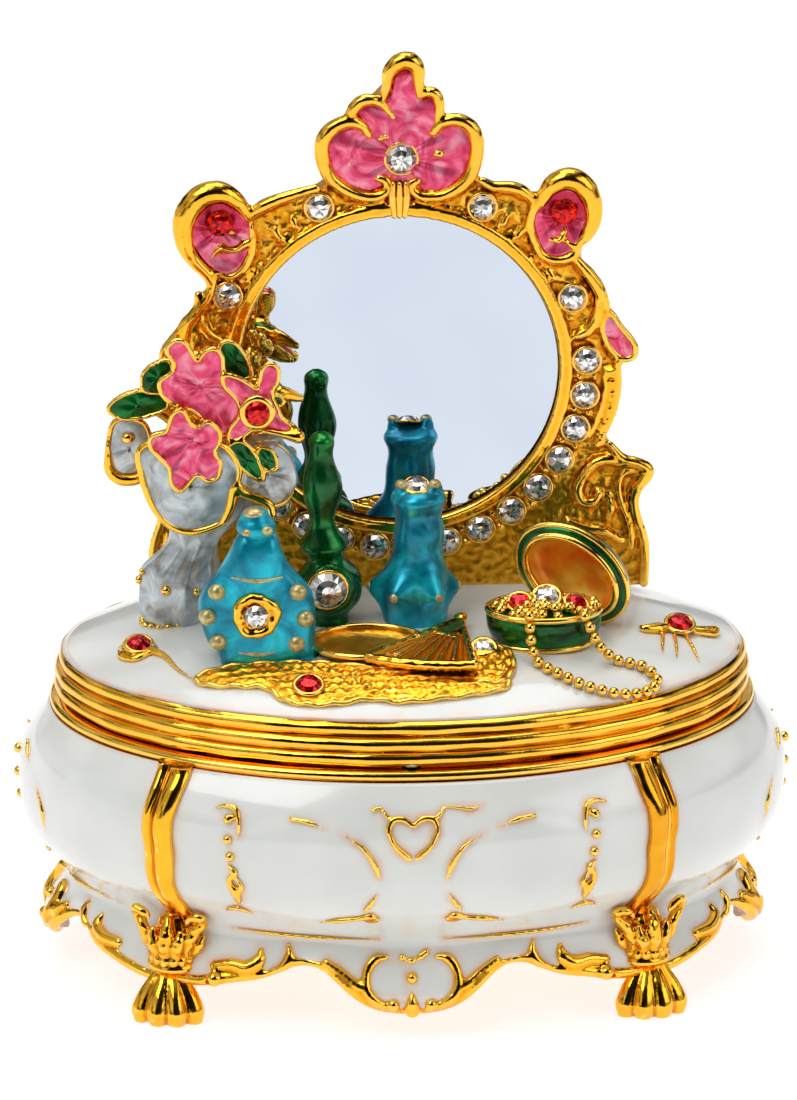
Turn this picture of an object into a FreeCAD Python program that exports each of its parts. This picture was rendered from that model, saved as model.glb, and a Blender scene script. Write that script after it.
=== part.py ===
"""Oval enamelled vanity trinket box.

A bombe bowl stands on four ribbed legs with paw feet. Its lid is hinged at the back and
carries a vanity scene: a framed mirror, a vase with a bouquet, three bottles, a casket with
a bead necklace, a lace mat with a dish and a fan, and two brooches.

Frame: millimetres, +Z up, front of the box towards -Y, origin on the ground under the centre.
"""
import FreeCAD
import Part
import Sketcher
import math
import os

Vector = FreeCAD.Vector
Rotation = FreeCAD.Rotation
Placement = FreeCAD.Placement
X_AXIS = Vector(1, 0, 0)
Y_AXIS = Vector(0, 1, 0)
Z_AXIS = Vector(0, 0, 1)

# Driving dimensions in millimetres. Widths and depths of ovals are half sizes.
DRIVING = (
    ("waist_width", 35.5), ("waist_height", 9.7),
    ("bulge_width", 40.35), ("bulge_height", 19.8),
    ("mouth_width", 37.0), ("mouth_height", 28.1),
    ("depth_drop", 12.4), ("wall", 1.6), ("floor_thickness", 1.5),
    ("rim_width", 37.2), ("rim_top", 29.2), ("opening_width", 34.2),
    ("lip_height", 1.8), ("lip_gap", 0.3), ("lip_wall", 0.9),
    ("apron_width", 37.8), ("apron_flare_height", 3.7), ("apron_foot", 1.9), ("apron_wall", 1.3),
    ("rib_width", 3.6), ("rib_proud", 1.3), ("rib_angle", 50),
    ("paw_length", 3.6), ("paw_width", 3.8), ("paw_height", 4.8), ("paw_out", 2.4),
    ("collar_out", 1.9), ("collar_bottom", 4.4), ("collar_height", 2.4), ("collar_radius", 2.8),
    ("knee_out", 1.4), ("knee_middle", 9.3), ("knee_width", 3.3),
    ("lid_bottom", 29.5), ("lid_width", 36.65), ("roll_height", 1.53), ("roll_round", 0.7),
    ("dome_width", 35.7), ("dome_depth", 23.0), ("dome_rise", 3.2), ("dome_wall", 1.5),
    ("dome_flat", 0.55),
    ("hinge_y", 26.75), ("hinge_z", 29.4), ("knuckle_radius", 1.2), ("pin_radius", 0.6),
    ("knuckle_length", 4.0), ("hinge_clearance", 0.05), ("knuckle_gap", 0.15),
    ("magnet_radius", 1.0), ("magnet_height", 0.8), ("magnet_y", 23.05),
    ("mirror_y", 7.8), ("mirror_depth", 3.4), ("mirror_height", 61.5),
    ("glass_radius", 16.75), ("glass_recess", 0.6), ("glass_thickness", 1.2),
    ("bezel_width", 1.3), ("bezel_proud", 0.7),
    ("frame_width", 27.0), ("frame_top", 95.9), ("frame_foot", 36.4),
    ("stone_ring", 19.7), ("stone_radius", 1.4), ("stone_pitch", 11.1), ("stone_start", 2.4),
    ("crest_stone", 1.6), ("ruby_radius", 1.35), ("big_stone", 1.95), ("skin", 0.6),
    ("vase_height", 18.5), ("vase_foot", 3.3), ("vase_mouth", 8.3),
    ("green_height", 20.9), ("green_radius", 3.5),
    ("flask_width", 6.2), ("flask_height", 14.6), ("flask_thickness", 4.6),
    ("tall_height", 14.7), ("tall_radius", 4.9),
    ("casket_width", 6.0), ("casket_depth", 4.1), ("casket_height", 4.9),
    ("casket_x", 14.3), ("casket_y", -8.6), ("casket_wall", 0.8), ("casket_well", 1.6),
    ("dish_x", -4.0), ("dish_y", -10.4), ("dish_height", 1.0), ("fan_thickness", 0.9),
    ("dish_width", 6.0), ("dish_depth", 4.7), ("dish_floor", 0.6), ("dish_lip", 0.9),
    ("bead_radius", 0.62), ("bead_lift", 0.15),
    ("flask_x", -15.2), ("flask_y", -11.4), ("setting_height", 0.6),
    ("green_x", -7.9), ("green_y", -1.9), ("tall_x", 1.2), ("tall_y", -1.6),
)

doc = FreeCAD.newDocument("VanityTrinketBox")
dims = doc.addObject("Spreadsheet::Sheet", "Dims")
for row, (alias, number) in enumerate(DRIVING, start=1):
    dims.set("A%d" % row, alias)
    dims.set("B%d" % row, str(number))
    dims.setAlias("B%d" % row, alias)
doc.recompute()

sub_parts = []


def size(expression):
    """Give the value of an expression over the sheet's aliases."""
    return float(dims.evalExpression(expression))


def bind(item, **expressions):
    """Bind an object's properties to expressions over the sheet."""
    for name, expression in expressions.items():
        item.setExpression(name, linked(expression))


def linked(expression):
    """Write the sheet's name in front of each alias of an expression."""
    words = expression.split(" ")
    aliases = [alias for alias, number in DRIVING]
    return " ".join("Dims." + word if word in aliases else word for word in words)


def keep(item, label):
    """Name a finished sub-part and list it for export."""
    item.Label = label
    sub_parts.append(item)
    return item


def make(kind, name, **expressions):
    """Add an object and bind its sizes."""
    item = doc.addObject(kind, name)
    bind(item, **expressions)
    return item


def cut(name, base, tool):
    """Take one solid away from another."""
    item = doc.addObject("Part::Cut", name)
    item.Base = base
    item.Tool = tool
    return item


def common(name, base, tool):
    """Keep what two solids share."""
    item = doc.addObject("Part::Common", name)
    item.Base = base
    item.Tool = tool
    return item


def fuse(name, *solids):
    """Join solids into one."""
    item = doc.addObject("Part::MultiFuse", name)
    item.Shapes = list(solids)
    return item


def oval(name, height, half_width, half_depth=None):
    """Draw a level ellipse. The bowl's ovals are a fixed amount less deep than wide."""
    ring = make("Part::Ellipse", name, MajorRadius=half_width,
                MinorRadius=half_depth or half_width + " - depth_drop")
    ring.setExpression("Placement.Base.z", linked(height))
    return ring


def loft(name, sections):
    """Loft a solid through (height, half width, half depth) ovals, lowest first."""
    item = doc.addObject("Part::Loft", name)
    item.Sections = [oval("%s_oval%d" % (name, index), *section)
                     for index, section in enumerate(sections)]
    item.Solid = True
    return item


def disc(name, bottom, height, half_width, half_depth=None):
    """Extrude a level ellipse upwards."""
    item = doc.addObject("Part::Extrusion", name)
    item.Base = oval(name + "_oval", bottom, half_width, half_depth)
    item.DirMode = "Normal"
    item.Solid = True
    item.setExpression("LengthFwd", linked(height))
    return item


def plane_of(body, role):
    """Find one of a body's own origin planes."""
    return next(item for item in body.Origin.OriginFeatures if item.Role == role)


def outline(body, role, corners):
    """Sketch a closed outline whose corners are bound to (across, up) expressions."""
    sketch = body.newObject("Sketcher::SketchObject", body.Name + "_outline")
    sketch.AttachmentSupport = (plane_of(body, role), [""])
    sketch.MapMode = "FlatFace"
    points = [Vector(size(across), size(up), 0) for across, up in corners]
    for index, point in enumerate(points):
        sketch.addGeometry(Part.LineSegment(point, points[(index + 1) % len(points)]), False)
    for index in range(len(points)):
        following = (index + 1) % len(points)
        sketch.addConstraint(Sketcher.Constraint("Coincident", index, 2, following, 1))
    for index, (across, up) in enumerate(corners):
        hold(sketch, index, "DistanceX", across, -2)
        hold(sketch, index, "DistanceY", up, -1)
    return sketch


def hold(sketch, corner, direction, expression, axis):
    """Bind one coordinate of an outline's corner, or put the corner on the axis at zero."""
    if expression == "0":
        sketch.addConstraint(Sketcher.Constraint("PointOnObject", corner, 1, axis))
        return
    distance = Sketcher.Constraint(direction, -1, 1, corner, 1, size(expression))
    index = sketch.addConstraint(distance)
    sketch.setExpression("Constraints[%d]" % index, linked(expression))


def turned(name, corners):
    """Turn a solid about its own Z axis from a (radius, height) outline."""
    body = doc.addObject("PartDesign::Body", name)
    sketch = outline(body, "XZ_Plane", corners)
    spin = body.newObject("PartDesign::Revolution", name + "_turn")
    spin.Profile = sketch
    spin.ReferenceAxis = (sketch, ["V_Axis"])
    spin.Angle = 360
    return body


def padded(name, role, corners, length, midplane=False):
    """Pad an outline by a bound length."""
    body = doc.addObject("PartDesign::Body", name)
    pad = body.newObject("PartDesign::Pad", name + "_pad")
    pad.Profile = outline(body, role, corners)
    pad.Midplane = midplane
    pad.setExpression("Length", linked(length))
    return body


def put(item, x=0.0, y=0.0, z=0.0, axis=Z_AXIS, angle=0.0):
    """Place an object."""
    item.Placement = Placement(Vector(x, y, z), Rotation(axis, angle))
    return item


def check_state():
    """Stop when any object failed or any sub-part has no valid solid."""
    doc.recompute()
    for item in doc.Objects:
        if "Invalid" in item.State or "Error" in item.State:
            raise RuntimeError("failed object: " + item.Label)
    for item in sub_parts:
        if item.Shape.isNull() or not item.Shape.isValid() or item.Shape.Volume <= 0:
            raise RuntimeError("bad shape: " + item.Label)


# ------------------------------------------------------------------ bowl

def bowl_profile(inset):
    """Give the bombe bowl's ovals, moved inwards by an inset (negative moves outwards)."""
    return (
        ("waist_height", "waist_width - " + inset),
        ("waist_height + 4.3", "waist_width + 3 - " + inset),
        ("bulge_height", "bulge_width - " + inset),
        ("mouth_height - 2.8", "bulge_width - 0.75 - " + inset),
        ("mouth_height", "mouth_width - " + inset),
    )


def make_bowl():
    """Bowl: a lofted shell with a flat floor."""
    outer = loft("bowl_outside", bowl_profile("0"))
    inner = loft("bowl_inside", (("waist_height + floor_thickness", "waist_width + 0.9 - wall"),)
                 + bowl_profile("wall")[1:4]
                 + (("mouth_height + 0.5", "mouth_width - wall"),))
    keep(cut("base_bowl_solid", outer, inner), "base_bowl")
    return outer


def make_base_rim():
    """Gold rim of the bowl, with the lip that locates the lid and a pocket for the magnet."""
    band = disc("rim_band", "mouth_height", "rim_top - mouth_height", "rim_width")
    lip = disc("rim_lip", "mouth_height", "rim_top - mouth_height + lip_height",
               "opening_width - lip_gap")
    hole = disc("rim_hole", "mouth_height - 1", "lip_height + 4",
                "opening_width - lip_gap - lip_wall")
    pocket = magnet("rim_pocket", "rim_top - magnet_height")
    ring = cut("base_rim_ring", fuse("rim_outside", band, lip), hole)
    keep(cut("base_rim_solid", ring, pocket), "base_rim")
    keep(magnet("base_magnet_disc", "rim_top - magnet_height"), "base_magnet")
    return band


def magnet(name, bottom):
    """Disc of the closing magnets, at the front centre of the rims."""
    item = make("Part::Cylinder", name, Radius="magnet_radius", Height="magnet_height")
    item.setExpression("Placement.Base.y", linked("0 - magnet_y"))
    item.setExpression("Placement.Base.z", linked(bottom))
    return item


# ------------------------------------------------------------------ apron

def apron_profile(inset):
    """Give the skirt's ovals from its foot up to the waist."""
    return (
        ("apron_foot", "apron_width - 1.6 - " + inset,
         "apron_width - 1.6 - depth_drop - 1.6 - " + inset),
        ("apron_flare_height", "apron_width - " + inset),
        ("apron_flare_height + 2.8", "apron_width - 1.1 - " + inset),
        ("waist_height", "waist_width - " + inset),
    )


def scallop(half_length):
    """Give one apron panel's outline: a deep middle lobe and a shallow one at each end."""
    side = (
        (half_length, "waist_height"),
        (half_length, "waist_height - 5.0"),
        (half_length + " * 0.86", "waist_height - 4.2"),
        (half_length + " * 0.71", "waist_height - 3.4"),
        (half_length + " * 0.58", "waist_height - 2.4"),
        (half_length + " * 0.48", "waist_height - 2.3"),
        (half_length + " * 0.41", "waist_height - 2.9"),
        (half_length + " * 0.32", "apron_foot + 3.5"),
        (half_length + " * 0.21", "apron_foot + 1.7"),
        (half_length + " * 0.08", "apron_foot"),
    )
    mirrored = tuple(("0 - " + across, up) for across, up in reversed(side))
    return side + mirrored


def make_apron():
    """Four scalloped panels between the legs, cut from one flared skirt."""
    skirt = cut("apron_ring", loft("apron_outside", apron_profile("0")),
                loft("apron_inside", apron_profile("apron_wall")))
    long_panel = (("apron_front", "XZ_Plane", 20.2, 0), ("apron_back", "XZ_Plane", 20.2, 180))
    for label, role, half_length, turn in long_panel:
        window = padded(label + "_window", role, scallop(str(half_length)), "bulge_width")
        put(window, angle=turn)
        keep(common(label + "_panel", skirt, window), label)
    for label, turn in (("apron_right", 90), ("apron_left", -90)):
        window = padded(label + "_window", "XZ_Plane", scallop("15.2"), "bulge_width")
        put(window, angle=turn)
        keep(common(label + "_panel", skirt, window), label)


# ------------------------------------------------------------------ legs

def leg_frame(side_x, side_y):
    """Give a leg's own frame: origin under the waist at the rib, +X pointing outwards."""
    turn = math.radians(size("rib_angle"))
    waist = size("waist_width")
    across = side_x * waist * math.cos(turn)
    along = side_y * (waist - size("depth_drop")) * math.sin(turn)
    heading = math.degrees(math.atan2(side_y * math.sin(turn), side_x * math.cos(turn)))
    return Placement(Vector(across, along, 0), Rotation(Z_AXIS, heading))


def make_leg(label, side_x, side_y, proud, outer):
    """One leg: rib over the bowl, acanthus knee, bead ring and a paw with a flat sole."""
    frame = leg_frame(side_x, side_y)

    def set_in_frame(item, out, across, up):
        item.Placement = frame.multiply(Placement(
            Vector(size(out), size(across), size(up)), Rotation()))
        return item
    slab = make("Part::Box", label + "_slab", Length="rib_width * 4.4", Width="rib_width",
                Height="mouth_height - waist_height")
    set_in_frame(slab, "0 - rib_width * 2.2", "0 - rib_width / 2", "waist_height")
    knee = make("Part::Ellipsoid", label + "_knee", Radius1="waist_height * 0.34",
                Radius2="knee_width * 0.85", Radius3="knee_width")
    set_in_frame(knee, "knee_out", "0", "knee_middle")
    collar = make("Part::Cylinder", label + "_collar", Radius="collar_radius",
                  Height="collar_height")
    set_in_frame(collar, "collar_out", "0", "collar_bottom")
    paw = make("Part::Ellipsoid", label + "_paw", Radius1="paw_height * 0.7",
               Radius2="paw_length", Radius3="paw_width")
    set_in_frame(paw, "paw_out", "0", "paw_height * 0.3")
    ground = make("Part::Box", label + "_ground", Length="paw_width * 6",
                  Width="paw_width * 6", Height="paw_width * 3")
    set_in_frame(ground, "0 - paw_width * 3", "0 - paw_width * 3", "0 - paw_width * 3")
    rib = common(label + "_rib", slab, proud)
    whole = fuse(label + "_whole", rib, knee, collar, cut(label + "_sole", paw, ground))
    keep(cut(label + "_solid", whole, outer), label)


def make_legs(outer):
    """Four legs, one at each quarter of the oval."""
    proud = loft("rib_outside", bowl_profile("( 0 - rib_proud )"))
    for name_y, side_y in (("front", -1), ("back", 1)):
        for name_x, side_x in (("left", -1), ("right", 1)):
            make_leg("leg_%s_%s" % (name_y, name_x), side_x, side_y, proud, outer)


# ------------------------------------------------------------------ lid

def dome_share(share):
    """Give the dome's oval where its radius is a share of the full oval."""
    drop = "( ( %s - dome_flat ) / ( 1 - dome_flat ) )" % share
    height = "lid_bottom + roll_height * 3 + dome_rise * ( 1 - %s * %s )" % (drop, drop)
    return height, "dome_width * %s" % share, "dome_depth * %s" % share


def dome_height(x, y):
    """Give the height of the lid's enamel over a point."""
    share = math.hypot(x / size("dome_width"), y / size("dome_depth"))
    flat = size("dome_flat")
    drop = max(0.0, (share - flat) / (1 - flat))
    return size("lid_bottom + roll_height * 3") + size("dome_rise") * (1 - drop * drop)


def dome(name, inset, lift):
    """Loft the lid's dome, moved inwards by an inset and upwards by a lift."""
    sections = []
    for share in ("1", "0.85", "0.7", "0.55"):
        height, wide, deep = dome_share(share)
        sections.append((height + " + " + lift, wide + " - " + inset, deep + " - " + inset))
    return loft(name, sections)


def make_lid():
    """Lid: hollow enamelled dome on a gold rim of three rolls."""
    outer = dome("dome_outside", "0", "0")
    inner = dome("dome_inside", "dome_wall", "( 0 - dome_wall )")
    top = "lid_bottom + roll_height * 3"
    well = disc("dome_well", top + " - 1", "1.01", "dome_width - dome_wall",
                "dome_depth - dome_wall")
    keep(cut("lid_shell_solid", outer, fuse("dome_hollow", inner, well)), "lid_shell")
    rolls = []
    for index, inset in enumerate(("0", "0", "0.5")):
        roll = disc("roll%d" % index, "lid_bottom + roll_height * %d" % index, "roll_height",
                    "lid_width - " + inset)
        doc.recompute()
        rounded = doc.addObject("Part::Fillet", "roll%d_round" % index)
        rounded.Base = roll
        closed = [number for number, edge in enumerate(roll.Shape.Edges, start=1)
                  if len(edge.Vertexes) == 1]
        radius = size("roll_round")
        rounded.Edges = [(number, radius, radius) for number in closed]
        rolls.append(rounded)
    hole = disc("lid_rim_hole", "lid_bottom - 1", "roll_height * 3 + 2", "opening_width")
    ring = cut("lid_rim_ring", fuse("lid_rim_rolls", *rolls), hole)
    keep(cut("lid_rim_solid", ring, magnet("lid_pocket", "lid_bottom")), "lid_rim")
    keep(magnet("lid_magnet_disc", "lid_bottom"), "lid_magnet")
    return outer


# ------------------------------------------------------------------ hinge

def rod(name, radius, start, length):
    """Lay a cylinder on the hinge axis."""
    item = make("Part::Cylinder", name, Radius=radius, Height=length)
    put(item, size(start), size("hinge_y"), size("hinge_z"), Y_AXIS, 90)
    item.setExpression("Placement.Base.x", linked(start))
    return item


def leaf(name, start, width, bottom, height):
    """Block that joins a knuckle to its rim."""
    item = make("Part::Box", name, Length=width, Width="hinge_y - 22", Height=height)
    item.setExpression("Placement.Base.x", linked(start))
    item.setExpression("Placement.Base.y", "22")
    item.setExpression("Placement.Base.z", linked(bottom))
    return item


def knuckle(name, start, width, bottom, height, bore):
    """One hinge knuckle with its leaf and bore."""
    barrel = rod(name + "_barrel", "knuckle_radius", start, width)
    body = fuse(name + "_body", barrel, leaf(name + "_leaf", start, width, bottom, height))
    return cut(name + "_bored", body, rod(name + "_bore", bore, start, width))


def make_hinge(base_band, bowl_outer):
    """Hinge: two knuckles on the bowl's rim, one on the lid's rim, and the pin."""
    low = "mouth_height + 0.1"
    pair = []
    for name, start in (("left", "0 - knuckle_length * 1.5 - knuckle_gap"),
                        ("right", "knuckle_length * 0.5 + knuckle_gap")):
        pair.append(knuckle("base_knuckle_" + name, start, "knuckle_length", low,
                            "rim_top - mouth_height - 0.1", "pin_radius"))
    both = cut("base_knuckles_clear", fuse("base_knuckles_both", *pair), base_band)
    keep(cut("base_knuckles_solid", both, bowl_outer), "base_hinge_knuckles")
    middle = knuckle("lid_knuckle", "0 - knuckle_length * 0.5", "knuckle_length",
                     "lid_bottom", "knuckle_radius", "pin_radius + hinge_clearance")
    keep(cut("lid_knuckle_solid", middle, solid_of_lid_rim()), "lid_hinge_knuckle")
    pin = rod("pin_rod", "pin_radius", "0 - knuckle_length * 1.5 - knuckle_gap",
              "knuckle_length * 3 + knuckle_gap * 2")
    keep(pin, "hinge_pin")


def solid_of_lid_rim():
    """Full oval of the lid's rim, used to shape what joins it from outside."""
    return disc("lid_rim_full", "lid_bottom", "roll_height * 3", "lid_width")


# ------------------------------------------------------------------ mirror

def frame_half():
    """Give the right half of the mirror frame's outline, as shares of its width and height."""
    shares = (
        (0.0, 0.0), (0.97, 0.0), (0.975, 0.08), (0.93, 0.16), (1.0, 0.235), (0.83, 0.255),
        (0.87, 0.33), (0.88, 0.43), (0.93, 0.455), (0.82, 0.5), (0.76, 0.6), (0.86, 0.7),
        (0.8, 0.765), (0.68, 0.785), (0.55, 0.745), (0.3, 0.755), (0.33, 0.84), (0.24, 0.89),
        (0.16, 0.895), (0.13, 0.95), (0.05, 1.0), (0.0, 1.0),
    )
    rise = "( frame_top - frame_foot )"
    corners = []
    for across, up in shares:
        wide = "frame_width * %s" % across if across else "0"
        corners.append((wide, "frame_foot + %s * %s" % (rise, up)))
    return corners


def make_mirror(dome_outer):
    """Mirror: padded frame mirrored about its middle, bored for the glass, with a bezel."""
    body = doc.addObject("PartDesign::Body", "frame_body")
    pad = body.newObject("PartDesign::Pad", "frame_pad")
    pad.Profile = outline(body, "XZ_Plane", frame_half())
    pad.setExpression("Length", linked("mirror_depth"))
    mirrored = body.newObject("PartDesign::Mirrored", "frame_mirrored")
    mirrored.Originals = [pad]
    mirrored.MirrorPlane = (plane_of(body, "YZ_Plane"), [""])
    body.Tip = mirrored
    body.setExpression("Placement.Base.y", linked("mirror_y + mirror_depth"))
    seat = upright("frame_seat", "glass_radius", "mirror_y", "glass_recess + glass_thickness")
    bezel_outer = upright("bezel_outer", "glass_radius + bezel_width",
                          "mirror_y - bezel_proud", "bezel_proud + 0.5")
    bezel_inner = upright("bezel_inner", "glass_radius", "mirror_y - bezel_proud - 1",
                          "bezel_proud + 3")
    bezel = cut("bezel", bezel_outer, bezel_inner)
    whole = cut("frame_bored", fuse("frame_with_bezel", body, bezel), seat)
    keep(cut("mirror_frame_solid", whole, dome_outer), "mirror_frame")
    keep(upright("mirror_glass_disc", "glass_radius", "mirror_y + glass_recess",
                 "glass_thickness"), "mirror_glass")


def upright(name, radius, front, depth):
    """Disc that stands in the mirror's plane, on the mirror's centre."""
    item = make("Part::Cylinder", name, Radius=radius, Height=depth)
    put(item, 0, 0, 0, X_AXIS, -90)
    item.setExpression("Placement.Base.y", linked(front))
    item.setExpression("Placement.Base.z", linked("mirror_height"))
    return item


# ------------------------------------------------------------------ stones

def stone(name, radius):
    """Faceted stone turned about Z: flat back, girdle, crown and table."""
    return turned(name, (
        ("0", "0"), (radius + " * 0.92", "0"), (radius, radius + " * 0.2"),
        (radius + " * 0.6", radius + " * 0.6"), ("0", radius + " * 0.6"),
    ))


def group(label, pattern, places):
    """Put copies of one small solid at several places, as one sub-part."""
    doc.recompute()
    copies = []
    for place in places:
        copy = pattern.Shape.copy()
        copy.Placement = place
        copies.append(copy)
    item = doc.addObject("Part::Feature", label + "_group")
    item.Shape = Part.makeCompound(copies)
    keep(item, label)


def facing_front(x, y, z):
    """Place a stone so that its table faces the front."""
    return Placement(Vector(x, y, z), Rotation(X_AXIS, 90))


def make_frame_stones():
    """Stones of the mirror frame: the ring, the crest and the two rosettes."""
    face = size("mirror_y")
    centre = size("mirror_height")
    reach = size("stone_ring")
    pattern = stone("ring_stone", "stone_radius")
    angles = [size("stone_start") - index * size("stone_pitch") for index in range(17)]
    angles += [23, 64, 115, 155]
    group("frame_crystals", pattern, [
        facing_front(reach * math.cos(math.radians(angle)), face,
                     centre + reach * math.sin(math.radians(angle))) for angle in angles])
    crest = stone("crest_stone_body", "crest_stone")
    crest.Placement = facing_front(0.1, face, 84.6)
    keep(crest, "crest_crystal")
    ruby = stone("rosette_stone", "ruby_radius")
    group("rosette_rubies", ruby, [facing_front(side * 18.2, face, 78.2) for side in (-1, 1)])


# ------------------------------------------------------------------ vase and bouquet

def blob(name, centre, radii, tilt=0.0):
    """Ellipsoid with (x, y, z) radii."""
    item = doc.addObject("Part::Ellipsoid", name)
    item.Radius2, item.Radius3, item.Radius1 = radii
    return put(item, *centre, Y_AXIS, tilt)


def make_vase(dome_outer):
    """Vase: a bell foot, a slim neck and a wide cup that leans towards the mirror."""
    base = dome_height(0, 0)
    levels = (
        (-1.2, -24.3, "vase_foot * 0.9", "vase_foot * 0.9"),
        (3.2, -24.2, "vase_foot", "vase_foot"),
        (8.7, -22.2, "vase_foot * 0.72", "vase_foot * 0.7"),
        (12.6, -20.2, "vase_mouth * 0.8", "vase_mouth * 0.42"),
        (18.0, -19.4, "vase_mouth", "vase_mouth * 0.55"),
    )
    body = loft("vase_body", [(str(base + up), wide, deep) for up, x, wide, deep in levels])
    for section, (up, x, wide, deep) in zip(body.Sections, levels):
        section.setExpression("Placement.Base.x", str(x))
    lip = blob("vase_lip", (-28.4, 0.8, 56.0), (2.2, 1.6, 3.2))
    whole = fuse("vase_whole", body, lip)
    keep(cut("vase_solid", whole, dome_outer), "vase")
    return whole


def make_bouquet(vase_whole):
    """Bouquet: two large flowers and a star flower in front of a mass of foliage."""
    upper = blob("flower_upper_blob", (-20.8, -3.2, 64.6), (4.9, 2.0, 4.9))
    lower = blob("flower_lower_blob", (-22.4, -5.0, 57.6), (4.6, 2.0, 4.8))
    star = blob("star_flower_blob", (-14.6, -3.8, 61.4), (4.4, 1.6, 3.8))
    green = blob("foliage_blob", (-20.6, 0.2, 61.2), (9.6, 3.6, 8.2))
    flowers = fuse("flower_tool", upper, lower, star)
    keep(cut("flower_upper_solid", upper, lower), "flower_upper")
    keep(cut("flower_lower_solid", lower, vase_whole), "flower_lower")
    keep(cut("star_flower_solid", cut("star_clear", star, upper), lower), "star_flower")
    keep(cut("foliage_solid", cut("foliage_clear", green, flowers), vase_whole),
         "bouquet_foliage")
    ruby = stone("bouquet_stone", "ruby_radius")
    ruby.Placement = facing_front(-15.1, -5.3, 61.4)
    keep(ruby, "bouquet_ruby")


# ------------------------------------------------------------------ bottles

def make_green_bottle():
    """Slender bottle with a flange round its neck and a large stone on its body."""
    body = turned("green_bottle_body", (
        ("0", "0"), ("green_radius * 0.85", "0"), ("green_radius", "green_height * 0.1"),
        ("green_radius * 0.95", "green_height * 0.2"), ("green_radius * 0.45", "green_height * 0.33"),
        ("green_radius * 0.68", "green_height * 0.41"), ("green_radius * 0.42", "green_height * 0.47"),
        ("green_radius * 0.5", "green_height * 0.75"), ("green_radius * 0.3", "green_height * 0.9"),
        ("green_radius * 0.28", "green_height"), ("0", "green_height"),
    ))
    across, along = size("green_x"), size("green_y")
    keep(put(body, across, along, dome_height(0, 0)), "green_bottle")
    gem = stone("green_bottle_stone", "big_stone")
    front = along - size("green_radius * 0.97")
    gem.Placement = Placement(Vector(across, front, 41.8), Rotation(X_AXIS, 80))
    keep(gem, "green_bottle_crystal")


def make_flat_bottle(dome_outer):
    """Flat round flask with a stepped foot, a jewelled setting and a stopper."""
    half = (
        ("flask_width * 0.8", "0 - 1.5"), ("flask_width * 0.72", "flask_height * 0.08"),
        ("flask_width * 0.95", "flask_height * 0.2"), ("flask_width", "flask_height * 0.36"),
        ("flask_width * 0.93", "flask_height * 0.52"), ("flask_width * 0.62", "flask_height * 0.7"),
        ("flask_width * 0.4", "flask_height * 0.86"),
    )
    mirrored = tuple(("0 - " + across, up) for across, up in reversed(half))
    body = padded("flask_body", "XZ_Plane", half + mirrored, "flask_thickness", True)
    across, along = size("flask_x"), size("flask_y")
    put(body, across, along, dome_height(0, 0))
    keep(cut("flat_bottle_solid", body, dome_outer), "flat_bottle")
    stopper = turned("flask_stopper", (
        ("0", "0"), ("flask_width * 0.4", "0"), ("flask_width * 0.36", "flask_height * 0.12"),
        ("flask_width * 0.22", "flask_height * 0.17"), ("0", "flask_height * 0.17"),
    ))
    keep(put(stopper, across, along, dome_height(0, 0) + size("flask_height * 0.86")),
         "flat_bottle_stopper")
    jewel = facing_front(across - 0.4, along - size("flask_thickness / 2"), 42.6)
    setting = turned("flask_setting", (
        ("stone_radius * 0.95", "0"), ("stone_radius * 1.4", "0"),
        ("stone_radius * 1.25", "setting_height"), ("stone_radius * 0.95", "setting_height"),
    ))
    setting.Placement = jewel
    keep(setting, "flat_bottle_setting")
    gem = stone("flask_stone", "stone_radius * 0.94")
    gem.Placement = jewel
    keep(gem, "flat_bottle_crystal")


def make_tall_bottle():
    """Tall bottle with a flared skirt near its foot and a stone on its mouth."""
    body = turned("tall_bottle_body", (
        ("0", "0"), ("tall_radius * 0.76", "0"), ("tall_radius * 0.78", "tall_height * 0.12"),
        ("tall_radius", "tall_height * 0.3"), ("tall_radius * 0.58", "tall_height * 0.52"),
        ("tall_radius * 0.54", "tall_height * 0.82"), ("tall_radius * 0.44", "tall_height"),
        ("0", "tall_height"),
    ))
    across, along, top = size("tall_x"), size("tall_y"), dome_height(0, 0)
    keep(put(body, across, along, top), "tall_bottle")
    gem = stone("tall_bottle_stone", "stone_radius * 0.9")
    keep(put(gem, across, along, top + size("tall_height")), "tall_bottle_crystal")


# ------------------------------------------------------------------ casket and necklace

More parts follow.
